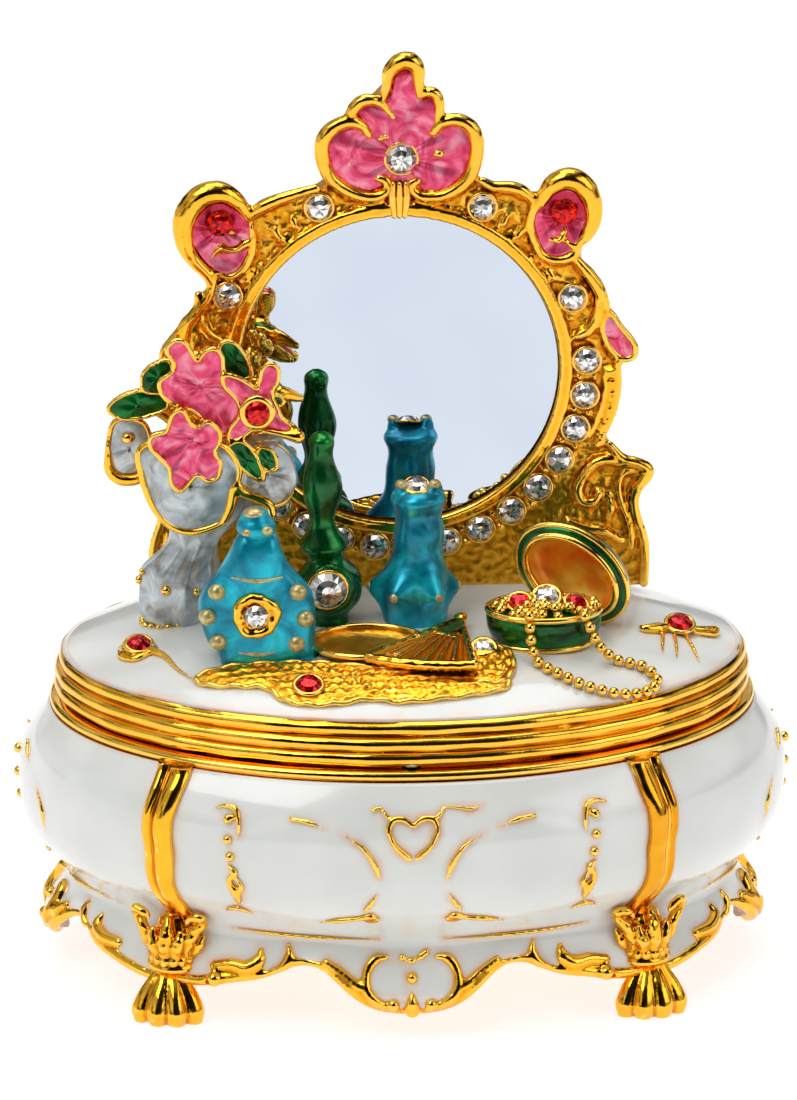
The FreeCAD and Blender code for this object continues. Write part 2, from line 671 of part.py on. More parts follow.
def make_casket(dome_outer):
    """Oval casket with its lid cast wide open, and the stones that lie in it."""
    wall = size("casket_wall")
    reach = size("casket_width")
    top = dome_height(0, 0) + size("casket_height")
    bed = top - size("casket_well")
    outer = disc("casket_outside", str(bed - reach), str(reach + size("casket_well")),
                 "casket_width", "casket_depth")
    inner = disc("casket_inside", str(bed), "casket_well * 2", "casket_width - casket_wall",
                 "casket_depth - casket_wall")
    for solid in (outer, inner):
        bind(solid.Base, **{"Placement.Base.x": "casket_x", "Placement.Base.y": "casket_y"})
    box = cut("casket_hollow", outer, inner)
    keep(cut("casket_base_solid", box, dome_outer), "casket_base")
    radii = (5.9, 4.3, 3.4)
    shell = blob("casket_lid_outside", (0, 0, 0), radii)
    hollow = blob("casket_lid_inside", (0, 0, 0), [radius - wall for radius in radii])
    below = make("Part::Box", "casket_lid_below", Length="casket_width * 3",
                 Width="casket_width * 3", Height="casket_width")
    put(below, -1.5 * reach, -1.5 * reach, -reach)
    lid = cut("casket_lid_shell", cut("casket_lid_bowl", shell, hollow), below)
    lid.Placement = Placement(Vector(17.6, -4.6, 43.4),
                              Rotation(Z_AXIS, -22).multiply(Rotation(X_AXIS, 68)))
    clear = cut("casket_lid_clear", lid, outer)
    keep(cut("casket_lid_solid", clear, dome_outer), "casket_lid")
    gem = stone("casket_stone", "stone_radius")
    keep(put(gem, 14.5, -8.4, bed + 0.2), "casket_crystal")
    group("casket_rubies", stone("casket_ruby", "stone_radius * 0.7"),
          [Placement(Vector(x, y, bed), Rotation()) for x, y in ((11.8, -9.3), (17.6, -9.9))])
    return outer


def necklace_route():
    """Give the necklace's corners: down from the casket, round on the lid and up again."""
    bead = size("bead_radius + bead_lift")
    rim = dome_height(0, 0) + size("casket_height") + bead
    laid = [(14.6, -14.9), (17.2, -17.0), (20.6, -17.9), (24.0, -16.6), (25.6, -14.0),
            (23.8, -12.2), (20.9, -13.2)]
    down = [Vector(13.2, -12.4, rim), Vector(13.4, -13.8, rim - bead), Vector(13.6, -14.0, 39.6)]
    on_lid = [Vector(x, y, dome_height(x, y) + bead) for x, y in laid]
    back_up = [Vector(18.4, -13.9, 39.4), Vector(17.2, -13.6, rim - bead), Vector(16.6, -12.2, rim)]
    return down + on_lid + back_up


def make_necklace(casket_outer, dome_outer):
    """Bead necklace: equal beads along its route, each clear of the casket and the lid."""
    curve = Part.BSplineCurve()
    curve.interpolate(necklace_route())
    wire = Part.Wire(curve.toShape())
    bead = size("bead_radius")
    count = int(wire.Length / (bead * 2.1))
    doc.recompute()
    beads = []
    for point in wire.discretize(count):
        ball = Part.makeSphere(bead, point)
        if all(ball.common(solid.Shape).Volume == 0 for solid in (casket_outer, dome_outer)):
            beads.append(ball)
    item = doc.addObject("Part::Feature", "necklace_beads")
    item.Shape = Part.makeCompound(beads)
    print("necklace beads", len(beads), "of", count)
    keep(item, "bead_necklace")


# ------------------------------------------------------------------ mat, dish, fan, brooches

def prism(name, corners):
    """Upright prism over the lid with a level outline of (x, y) corners."""
    body = padded(name, "XY_Plane", [(str(x), str(y)) for x, y in corners], "dome_rise * 5")
    return put(body, z=size("lid_bottom"))


def on_skin(label, skin, corners):
    """Cut a thin piece that follows the dome out of the skin over it."""
    return keep(common(label + "_solid", skin, prism(label + "_prism", corners)), label)


def make_flat_pieces(dome_outer):
    """Pieces that lie on the lid: lace mat, dish, fan and the two brooches."""
    skin = cut("lid_skin", dome("skin_outside", "0", "skin"), dome_outer)
    mat = on_skin("lace_mat", skin, (
        (-21.8, -14.6), (-16.0, -18.6), (-10.0, -21.0), (-4.0, -21.2), (2.5, -20.4),
        (9.8, -18.4), (10.2, -14.8), (-8.0, -14.0)))
    on_skin("bow_brooch", skin, (
        (25.2, -5.4), (28.0, -10.4), (30.6, -9.2), (30.6, -5.0), (33.0, -1.6), (31.4, -0.4),
        (28.6, -1.6), (25.6, -3.2)))
    on_skin("leaf_brooch", skin, (
        (-30.0, -7.6), (-27.6, -8.6), (-22.2, -14.6), (-21.6, -14.2), (-25.8, -6.8),
        (-28.0, -5.2)))
    level = dome_height(0, 0)
    plate = disc("dish_plate", str(level - 1), "dish_height + 1", "dish_width", "dish_depth")
    well = disc("dish_well", "dish_floor + " + str(level), "dish_height", "dish_width - dish_lip",
                "dish_depth - dish_lip")
    for solid in (plate, well):
        bind(solid.Base, **{"Placement.Base.x": "dish_x", "Placement.Base.y": "dish_y"})
    dish = cut("dish_seated", cut("dish_hollow", plate, well), dome_outer)
    keep(cut("dish_solid", dish, mat), "oval_dish")
    blade = padded("fan_blade", "XY_Plane", (
        ("5.9", "0 - 5.4"), ("6.6", "0 - 17.8"), ("0.6", "0 - 17.2"), ("0 - 4.2", "0 - 15.6")),
        "fan_thickness")
    keep(put(blade, z=level + size("dish_height") + 0.05), "folding_fan")
    small = (
        ("mat_ruby", "stone_radius", (-10.3, -18.6)), ("bow_ruby", "stone_radius", (28.9, -3.4)),
        ("leaf_ruby", "stone_radius * 0.9", (-27.6, -7.0)),
        ("fan_crystal", "stone_radius * 1.1", (7.9, -12.8)),
    )
    for label, radius, (x, y) in small:
        gem = stone(label + "_stone", radius)
        lift = size("skin") if label != "fan_crystal" else 0.0
        keep(cut(label + "_solid", put(gem, x, y, dome_height(x, y) + lift - 0.25),
                 dome_outer), label)


def main():
    """Build the document, check it and write each sub-part."""
    bowl_outer = make_bowl()
    base_band = make_base_rim()
    make_apron()
    make_legs(bowl_outer)
    dome_outer = make_lid()
    make_hinge(base_band, bowl_outer)
    make_mirror(dome_outer)
    make_frame_stones()
    vase_whole = make_vase(dome_outer)
    make_bouquet(vase_whole)
    make_green_bottle()
    make_flat_bottle(dome_outer)
    make_tall_bottle()
    casket_outer = make_casket(dome_outer)
    make_necklace(casket_outer, dome_outer)
    make_flat_pieces(dome_outer)
    check_state()
    os.makedirs("parts", exist_ok=True)
    for item in sub_parts:
        item.Shape.exportStep("parts/%s.step" % item.Label)
        print(item.Label, round(item.Shape.Volume, 1))


main()
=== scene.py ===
"""Looks of the oval enamelled vanity trinket box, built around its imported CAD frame.

Shapes are worked out in millimetres in the CAD frame and turned into metres when a mesh is made.
"""
import math
import random
import bpy
import numpy as np
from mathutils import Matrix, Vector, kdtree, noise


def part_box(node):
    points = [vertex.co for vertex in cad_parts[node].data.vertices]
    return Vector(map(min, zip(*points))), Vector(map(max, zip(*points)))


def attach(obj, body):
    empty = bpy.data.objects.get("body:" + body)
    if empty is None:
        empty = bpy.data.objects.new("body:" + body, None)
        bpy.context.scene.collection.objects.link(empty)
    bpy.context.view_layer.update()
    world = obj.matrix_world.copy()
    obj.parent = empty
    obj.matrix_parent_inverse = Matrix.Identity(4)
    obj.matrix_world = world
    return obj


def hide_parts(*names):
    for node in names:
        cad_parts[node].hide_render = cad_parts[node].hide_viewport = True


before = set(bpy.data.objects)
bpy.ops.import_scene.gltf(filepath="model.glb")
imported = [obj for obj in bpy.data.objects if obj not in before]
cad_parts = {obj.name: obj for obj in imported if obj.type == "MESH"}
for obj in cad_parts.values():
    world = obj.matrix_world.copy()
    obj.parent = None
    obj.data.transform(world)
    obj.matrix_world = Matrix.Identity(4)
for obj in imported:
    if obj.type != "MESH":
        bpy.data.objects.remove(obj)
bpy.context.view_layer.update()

MM = 0.001
TAU = 2 * math.pi


# ------------------------------------------------------------------ forms
# A form is (points, faces): an N x 3 array in millimetres and a list of index tuples.

def box_mm(node):
    """Lowest and highest corner of a CAD node in millimetres."""
    low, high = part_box(node)
    return np.array(low) / MM, np.array(high) / MM


def merged(forms):
    """Put several forms into one."""
    points = []
    faces = []
    start = 0
    for form_points, form_faces in forms:
        points.append(form_points)
        faces += [tuple(index + start for index in face) for face in form_faces]
        start += len(form_points)
    return np.concatenate(points), faces


def moved(form, place):
    """Apply a function of points to a form."""
    return place(form[0]), form[1]


def spline(knots, values):
    """Natural cubic spline through a few knots, as a function."""
    knots = np.array(knots, float)
    values = np.array(values, float)
    gap = np.diff(knots)
    count = len(knots)
    system = np.eye(count)
    right = np.zeros(count)
    for i in range(1, count - 1):
        system[i, i - 1:i + 2] = gap[i - 1], 2 * (gap[i - 1] + gap[i]), gap[i]
        right[i] = 3 * ((values[i + 1] - values[i]) / gap[i]
                        - (values[i] - values[i - 1]) / gap[i - 1])
    bend = np.linalg.solve(system, right)
    slope = (np.diff(values) / gap - gap * (2 * bend[:-1] + bend[1:]) / 3)
    cube = np.diff(bend) / (3 * gap)

    def value(at):
        at = np.clip(at, knots[0], knots[-1])
        i = np.clip(np.searchsorted(knots, at) - 1, 0, count - 2)
        step = at - knots[i]
        return values[i] + step * (slope[i] + step * (bend[i] + step * cube[i]))
    return value


def curve(points, per=8, closed=False):
    """Catmull-Rom line through a few points."""
    points = np.array(points, float)
    if closed:
        padded = np.concatenate([points[-1:], points, points[:2]])
    else:
        padded = np.concatenate([2 * points[:1] - points[1:2], points,
                                 2 * points[-1:] - points[-2:-1]])
    line = []
    for i in range(len(padded) - 3):
        a, b, c, d = padded[i:i + 4]
        for step in np.arange(per) / per:
            line.append(0.5 * (2 * b + (c - a) * step + (2 * a - 5 * b + 4 * c - d) * step ** 2
                               + (3 * b - a - 3 * c + d) * step ** 3))
    if not closed:
        line.append(points[-1])
    return np.array(line)


def grid_faces(rows, columns, wrap_rows=False, wrap_columns=False):
    """Quads between the points of a row-by-row grid."""
    faces = []
    for i in range(rows if wrap_rows else rows - 1):
        below = ((i + 1) % rows) * columns
        for j in range(columns if wrap_columns else columns - 1):
            k = (j + 1) % columns
            faces.append((i * columns + j, i * columns + k, below + k, below + j))
    return faces


def tube(line, radius, sides=10, flat=1.0, closed=False):
    """Round or flattened bar along a line, with rounded ends. radius is a number or one per point."""
    line = np.array(line, float)
    count = len(line)
    radii = np.ones(count) * radius if np.isscalar(radius) else np.interp(
        np.linspace(0, 1, count), np.linspace(0, 1, len(radius)), radius)
    if not closed:
        start = line[0] - line[1]
        start /= np.linalg.norm(start) + 1e-9
        end = line[-1] - line[-2]
        end /= np.linalg.norm(end) + 1e-9
        head = [line[0] + start * radii[0] * k for k in (0.98, 0.75, 0.4)]
        tail = [line[-1] + end * radii[-1] * k for k in (0.4, 0.75, 0.98)]
        line = np.concatenate([head, line, tail])
        radii = np.concatenate([radii[0] * np.array([0.2, 0.66, 0.92]), radii,
                                radii[-1] * np.array([0.92, 0.66, 0.2])])
        count = len(line)
    ahead = np.roll(line, -1, 0) - np.roll(line, 1, 0)
    if not closed:
        ahead[0] = line[1] - line[0]
        ahead[-1] = line[-1] - line[-2]
    ahead /= np.linalg.norm(ahead, axis=1)[:, None] + 1e-9
    side = np.cross(ahead[0], [0.0, 1.0, 0.0])
    if np.linalg.norm(side) < 0.3:
        side = np.cross(ahead[0], [1.0, 0.0, 0.0])
    angles = np.arange(sides) / sides * TAU
    rings = []
    for i in range(count):
        side = side - ahead[i] * side.dot(ahead[i])
        side /= np.linalg.norm(side) + 1e-9
        other = np.cross(ahead[i], side)
        rings.append(line[i] + radii[i] * (np.cos(angles)[:, None] * side
                                           + flat * np.sin(angles)[:, None] * other))
    points = np.concatenate(rings)
    faces = grid_faces(count, sides, closed, True)
    if not closed:
        faces.append(tuple(range(sides)))
        faces.append(tuple((count - 1) * sides + k for k in reversed(range(sides))))
    return points, faces


def ball(centre, radii, segments=16, rings=10):
    """Ellipsoid."""
    radii = np.ones(3) * radii
    tilt = np.linspace(0.02, math.pi - 0.02, rings)
    turn = np.arange(segments) / segments * TAU
    points = np.array([[math.sin(a) * math.cos(b), math.sin(a) * math.sin(b), math.cos(a)]
                       for a in tilt for b in turn]) * radii + np.array(centre)
    faces = [tuple(reversed(face)) for face in grid_faces(rings, segments, False, True)]
    faces.append(tuple(range(segments)))
    faces.append(tuple((rings - 1) * segments + k for k in reversed(range(segments))))
    return points, faces


def lathe(profile, segments=64, centre=(0, 0, 0)):
    """Turn a (radius, height) profile about an upright axis. It starts and ends on the axis."""
    profile = np.array(profile, float)
    profile[:, 0] = np.maximum(profile[:, 0], 0.01)
    turn = np.arange(segments) / segments * TAU
    points = np.array([[r * math.cos(a), r * math.sin(a), z] for r, z in profile for a in turn])
    faces = [tuple(reversed(face)) for face in grid_faces(len(profile), segments, False, True)]
    faces.append(tuple(reversed(range(segments))))
    faces.append(tuple((len(profile) - 1) * segments + k for k in range(segments)))
    return points + np.array(centre), faces


def mesh_of(name, form, scale=MM):
    """Make a Blender mesh from a form."""
    mesh = bpy.data.meshes.new(name)
    mesh.from_pydata((form[0] * scale).tolist(), [], form[1])
    mesh.validate()
    mesh.update()
    return mesh


def form_of(mesh):
    """Read a form back from a Blender mesh."""
    points = np.empty(len(mesh.vertices) * 3)
    mesh.vertices.foreach_get("co", points)
    return points.reshape(-1, 3), [tuple(face.vertices) for face in mesh.polygons]


def modified(form, *modifiers):
    """Run modifiers, each (type, settings), on a form at millimetre scale."""
    thing = bpy.data.objects.new("work", mesh_of("work", form, 1.0))
    bpy.context.collection.objects.link(thing)
    for kind, settings in modifiers:
        modifier = thing.modifiers.new(kind, kind)
        for key, value in settings.items():
            setattr(modifier, key, value)
    shown = thing.evaluated_get(bpy.context.evaluated_depsgraph_get())
    result = form_of(bpy.data.meshes.new_from_object(shown))
    bpy.data.objects.remove(thing)
    return result


def melted(form, voxel, smooth=3, strength=0.5):
    """Join a form's parts into one skin, as cast metal, and soften its creases."""
    return modified(form, ("REMESH", {"mode": "VOXEL", "voxel_size": voxel}),
                    ("SMOOTH", {"iterations": smooth, "factor": strength}))


def normals_of(form):
    """Unit normals at a form's points."""
    mesh = mesh_of("normals", form, 1.0)
    normals = np.empty(len(mesh.vertices) * 3)
    mesh.vertex_normals.foreach_get("vector", normals)
    bpy.data.meshes.remove(mesh)
    return normals.reshape(-1, 3)


def roughened(form, depth, grain, where=None):
    """Push a form's points in and out by noise. grain is the size of a lump in millimetres."""
    points = form[0].copy()
    normals = normals_of(form)
    lumps = np.array([noise.noise(Vector(point / grain)) for point in points])
    if where is not None:
        lumps = lumps * where(points, normals)
    return points + normals * (depth * lumps)[:, None], form[1]


# ------------------------------------------------------------------ pieces

def piece(name, form, material, body, nodes=(), smooth=True, paint=None):
    """Make a piece from a form, in metres, riding on a body. paint gives each face's material."""
    mesh = mesh_of(name, form)
    materials = material if isinstance(material, (list, tuple)) else [material]
    for entry in materials:
        mesh.materials.append(entry)
    mesh.polygons.foreach_set("use_smooth", [smooth] * len(mesh.polygons))
    if paint is not None:
        mesh.polygons.foreach_set("material_index", list(paint))
    thing = bpy.data.objects.new(name, mesh)
    bpy.context.collection.objects.link(thing)
    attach(thing, body)
    if nodes:
        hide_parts(*nodes)
    return thing


def mark_gold_reflection(thing, gold_points, reach):
    """Store how near each point lies to gold, 1 at the gold and 0 beyond reach, for the enamel's painted reflection of
    the gold.
    """
    tree = kdtree.KDTree(len(gold_points))
    for index, point in enumerate(gold_points):
        tree.insert(Vector(point), index)
    tree.balance()
    near = []
    for vertex in thing.data.vertices:
        distance = tree.find(vertex.co / MM)[2]
        near.append(max(0.0, 1 - distance / reach))
    layer = thing.data.attributes.new("gold_reflection", "FLOAT", "POINT")
    layer.data.foreach_set("value", near)


# ------------------------------------------------------------------ materials

class Surface:
    """A node material around one Principled shader."""

    def __init__(self, name, **inputs):
        self.material = bpy.data.materials.new(name)
        self.material.use_nodes = True
        self.tree = self.material.node_tree
        self.shader = self.tree.nodes["Principled BSDF"]
        for key, value in inputs.items():
            self.shader.inputs[key.replace("_", " ")].default_value = value

    def node(self, kind, **settings):
        """Add a node. Settings are its own properties or, in capitals, its inputs."""
        item = self.tree.nodes.new(kind)
        for key, value in settings.items():
            if key[0].isupper():
                item.inputs[key.replace("_", " ")].default_value = value
            else:
                setattr(item, key, value)
        return item

    def link(self, source, target):
        """Join an output to an input."""
        self.tree.links.new(source, target)

    def noise(self, size, detail=3.0, distortion=0.0):
        """Noise with lumps of a size in millimetres."""
        place = self.node("ShaderNodeTexCoord")
        item = self.node("ShaderNodeTexNoise", Scale=1 / (size * MM), Detail=detail,
                         Distortion=distortion)
        self.link(place.outputs["Object"], item.inputs["Vector"])
        return item.outputs["Fac"]

    def cells(self, size):
        """Distance to the nearest grain centre, grains of a size in millimetres."""
        place = self.node("ShaderNodeTexCoord")
        item = self.node("ShaderNodeTexVoronoi", Scale=1 / (size * MM))
        self.link(place.outputs["Object"], item.inputs["Vector"])
        return item.outputs["Distance"]

    def ramp(self, source, stops):
        """Colour ramp over (position, colour) stops."""
        item = self.node("ShaderNodeValToRGB")
        elements = item.color_ramp.elements
        while len(elements) < len(stops):
            elements.new(0.5)
        for element, (position, colour) in zip(elements, stops):
            element.position = position
            element.color = (*colour, 1)
        self.link(source, item.inputs["Fac"])
        return item.outputs["Color"]

    def mix(self, share, first, second):
        """Mix two colours by a share."""
        item = self.node("ShaderNodeMix", data_type="RGBA")
        for slot_index, source in ((0, share), (6, first), (7, second)):
            if isinstance(source, (tuple, float)):
                value = (*source, 1) if isinstance(source, tuple) else source
                item.inputs[slot_index].default_value = value
            else:
                self.link(source, item.inputs[slot_index])
        return item.outputs[2]

    def bump(self, height, depth):
        """Bump of a depth in millimetres."""
        item = self.node("ShaderNodeBump", Strength=1.0, Distance=depth * MM)
        self.link(height, item.inputs["Height"])
        self.link(item.outputs["Normal"], self.shader.inputs["Normal"])

    def rough(self, source, low, high):
        """Roughness between two values."""
        item = self.node("ShaderNodeMapRange", To_Min=low, To_Max=high)
        self.link(source, item.inputs["Value"])
        self.link(item.outputs["Result"], self.shader.inputs["Roughness"])

    def colour(self, source):
        """Base colour from a node."""
        self.link(source, self.shader.inputs["Base Color"])


def gold_surface(name, recess_shade, rough=(0.10, 0.24), grain=0.0):
    """Polished plated gold. Recesses darken to orange brown as painted shade, and edges go pale as painted highlight.
    """
    gold = Surface(name, Metallic=1.0)
    # Pointiness paints shade into hollows and a highlight along edges.
    hollow = gold.node("ShaderNodeNewGeometry").outputs["Pointiness"]
    shades = gold.ramp(hollow, ((0.42, recess_shade), (0.485, (0.72, 0.26, 0.008)),
                                (0.51, (0.98, 0.50, 0.03)), (0.57, (1.0, 0.68, 0.15))))
    patches = gold.ramp(gold.noise(2.6), ((0.35, (0.86, 0.37, 0.015)), (0.65, (1.0, 0.58, 0.06))))
    gold.colour(gold.mix(0.25, shades, patches))
    gold.rough(gold.noise(1.4), *rough)
    if grain:
        gold.bump(gold.cells(grain), 0.04)
    else:
        gold.bump(gold.noise(0.9), 0.02)
    return gold.material


def enamel_surface(name, base, gold_reflection=None):
    """Glossy fired enamel, tinted next to gold by a painted reflection of the gold."""
    enamel = Surface(name, Roughness=0.16, Coat_Weight=0.6, Coat_Roughness=0.05)
    mottle = enamel.ramp(enamel.noise(9.0, 2.0), ((0.3, base[0]), (0.7, base[1])))
    if gold_reflection:
        uneven = enamel.node("ShaderNodeMapRange", From_Min=0.35, From_Max=0.65, To_Min=0.55, To_Max=1.1)
        enamel.link(enamel.noise(3.5, 2.0), uneven.inputs["Value"])
        near = enamel.node("ShaderNodeMath", operation="MULTIPLY")
        stored = enamel.node("ShaderNodeAttribute", attribute_name="gold_reflection")
        enamel.link(stored.outputs["Fac"], near.inputs[0])
        enamel.link(uneven.outputs["Result"], near.inputs[1])
        near = near.outputs["Value"]
        # Painted reflection: the gold's warm colour mixed into the enamel near the gold.
        tint = enamel.ramp(near, ((0.35, (0.0, 0.0, 0.0)), (0.80, (0.45, 0.45, 0.45)),
                                  (1.0, (0.9, 0.9, 0.9))))
        mottle = enamel.mix(tint, mottle, gold_reflection)
    enamel.colour(mottle)
    enamel.bump(enamel.noise(5.0, 1.0), 0.05)
    return enamel.material


def pearl_surface(name, dark, middle, light, streak=2.2, twist=2.0, rough=0.3):
    """Pearly enamel with swirls."""
    pearl = Surface(name, Roughness=rough, Metallic=0.5, Coat_Weight=0.14, Coat_Roughness=0.05)
    swirl = pearl.noise(streak, 4.0, twist)
    pearl.colour(pearl.ramp(swirl, ((0.30, dark), (0.50, middle), (0.68, light))))
    pearl.bump(pearl.noise(1.6, 2.0), 0.05)
    return pearl.material


# The first colour given to each gold is the painted shade in its recesses.
GOLD = gold_surface("gold", (0.30, 0.06, 0.002), (0.07, 0.18))
DEEP_GOLD = gold_surface("deep_gold", (0.45, 0.11, 0.003), (0.24, 0.40), 0.42)
# The third colour is the painted reflection of gold in the enamel beside it.
WHITE = enamel_surface("white_enamel", ((0.77, 0.785, 0.75), (0.85, 0.86, 0.83)),
                       (0.95, 0.55, 0.36))
GREY = pearl_surface("grey_enamel", (0.30, 0.26, 0.21), (0.50, 0.55, 0.57), (0.72, 0.78, 0.80), 3.6, 1.8)
PINK = pearl_surface("pink_enamel", (0.60, 0.005, 0.07), (0.88, 0.09, 0.21), (0.97, 0.32, 0.44), 3.4, 2.4)
ROSE = pearl_surface("rosette_enamel", (0.34, 0.0, 0.01), (0.72, 0.02, 0.09), (0.94, 0.22, 0.34), 4.5, 1.0)
TEAL = pearl_surface("teal_enamel", (0.0, 0.10, 0.16), (0.0, 0.32, 0.46), (0.01, 0.60, 0.74), 5.0, 1.4)
GREEN = pearl_surface("green_enamel", (0.0, 0.02, 0.003), (0.0, 0.09, 0.012), (0.0, 0.24, 0.03), 5.0, 1.0, 0.2)


# ------------------------------------------------------------------ bowl

bowl_low, bowl_high = box_mm("base_bowl")
apron_low = box_mm("apron_front")[0]
BULGE = bowl_high[0]
DROP = bowl_high[0] - bowl_high[1]
WAIST_Z = bowl_low[2]
MOUTH_Z = bowl_high[2]
FOOT_Z = apron_low[2]
RIB_TURN = math.radians(50)

half_width = spline(
    (FOOT_Z, FOOT_Z + 1.8, FOOT_Z + 4.6, WAIST_Z, WAIST_Z + 4.3, WAIST_Z + 10.1, MOUTH_Z - 2.8, MOUTH_Z),
    BULGE * np.array((0.898, 0.934, 0.912, 0.882, 0.952, 0.992, 0.970, 0.918)))


def on_oval(turn, width, z):
    """Point on one of the bowl's ovals."""
    return np.stack([width * np.cos(turn), (width - DROP) * np.sin(turn), z + 0 * turn], -1)


def panel_place(turn):
    """Give (share of the way from a panel's middle to its leg, whether it is a long panel)."""
    across = np.abs(np.cos(turn)) / math.cos(RIB_TURN)
    along = np.abs(np.sin(turn)) / math.sin(RIB_TURN)
    return np.where(across < 1, across, along), across < 1


edge_shape = spline((0, 0.09, 0.19, 0.29, 0.37, 0.45, 0.53, 0.63, 0.77, 0.90, 1.0),
                    (0.9, 1.2, 2.2, 3.8, 5.0, 5.5, 5.2, 4.2, 3.5, 2.8, 2.6))


def edge_height(turn):
    """Height of the skirt's scalloped edge."""
    share, long_panel = panel_place(turn)
    return FOOT_Z + edge_shape(np.clip(share, 0, 1)) + np.where(long_panel, 0.0, -0.4)


def cartouche_lift(turn, z):
    """Soft oval bulges on the panels."""
    x = BULGE * np.cos(turn)
    y = (BULGE - DROP) * np.sin(turn)
    middle = WAIST_Z + 8.6
    long_one = ((np.abs(x) - 11.5) / 8.6) ** 2 + ((z - middle) / 6.6) ** 2
    short_one = (y / 10.5) ** 2 + ((z - middle) / 6.6) ** 2
    nearest = np.where(np.abs(x) < 24, long_one, np.where(np.abs(x) > 28, short_one, 2))
    return 0.5 * np.clip(1 - nearest, 0, 1) ** 0.6


def bowl_point(turn, z, lift=0.0):
    """Point on the bowl's outside."""
    return on_oval(turn, half_width(z) + lift, z)


def front_point(x, z, lift=0.0, back=False):
    """Point on the bowl's long side over an x and a height."""
    width = half_width(z) + lift + float(cartouche_lift(np.array(math.acos(max(-1, min(1, x / half_width(z))))), z))
    y = (width - DROP) * math.sqrt(max(0.0, 1 - (x / width) ** 2))
    return (-x, y, z) if back else (x, -y, z)


def make_bowl():
    """Bowl and skirt in one shell: gilded underside, enamelled outside, gilded inside."""
    turn = np.arange(400) / 400 * TAU
    edge = edge_height(turn)
    rings = [on_oval(turn, 14.0, WAIST_Z + 0.1), on_oval(turn, half_width(WAIST_Z) - 1.5, WAIST_Z + 0.1)]
    for share in np.linspace(0.15, 1, 8):
        z = WAIST_Z + (edge - WAIST_Z) * share
        rings.append(on_oval(turn, half_width(z) - 1.3, z))
    gilded_below = len(rings)
    for share in np.linspace(0, 1, 22):
        z = edge + (WAIST_Z - edge) * share
        swell = 0.35 * np.sin(math.pi * share)
        rings.append(on_oval(turn, half_width(z) + swell, z))
    for z in np.linspace(WAIST_Z, MOUTH_Z, 46)[1:]:
        rings.append(on_oval(turn, half_width(z) + cartouche_lift(turn, z), z))
    enamelled = len(rings)
    for z in np.linspace(MOUTH_Z, WAIST_Z + 2.5, 16):
        rings.append(on_oval(turn, half_width(z) - 1.6, z))
    rings.append(on_oval(turn, half_width(WAIST_Z + 2) - 3.5, WAIST_Z + 1.6))
    rings.append(on_oval(turn, 14.0, WAIST_Z + 1.5))
    columns = len(turn)
    faces = [tuple(reversed(face)) for face in grid_faces(len(rings), columns, False, True)]
    paint = [1 if gilded_below <= row < enamelled - 1 else 0
             for row in range(len(rings) - 1) for column in range(columns)]
    faces.append(tuple(range(columns)))
    faces.append(tuple((len(rings) - 1) * columns + k for k in reversed(range(columns))))
    paint += [0, 0]
    return piece("bowl", (np.concatenate(rings), faces), (GOLD, WHITE), "base",
                 ("base_bowl", "apron_front", "apron_back", "apron_left", "apron_right"),
                 paint=paint)


bowl = make_bowl()


# ------------------------------------------------------------------ gold work on the bowl

def stroke(points, radius, back, per=6):
    """Raised gold line over (x, height) points of a long side."""
    line = curve([front_point(x, z, 0.22, back) for x, z in points], per)
    return tube(line, radius, 8)


def beads(places, radius, back):
    """Gold beads over (x, height) places of a long side."""
    return [ball(front_point(x, z, radius * 0.3, back), radius, 12, 8) for x, z in places]


def heart_forms(back):
    """Open heart, with the ticks that run out from its shoulders."""
    low = WAIST_Z + 11.6
    left = [(-0.1, low + 3.2), (-0.9, low + 3.8), (-2.0, low + 3.8), (-2.5, low + 2.8),
            (-1.8, low + 1.2), (-0.45, low - 0.1)]
    right = [(-x, z + 0.05) for x, z in left]
    forms = [stroke(left, (0.3, 0.36, 0.4, 0.38, 0.36, 0.4), back),
             stroke(right, (0.3, 0.38, 0.38, 0.36, 0.34, 0.4), back)]
    for side, reach in ((-1, 2.0), (1, 4.6)):
        line = [(side * 2.7, low + 4.2), (side * 3.4, low + 4.9), (side * (2.6 + reach * 0.7), low + 4.6),
                (side * (2.6 + reach), low + 5.0)]
        forms.append(stroke(line, (0.3, 0.2, 0.26, 0.08), back))
    return forms


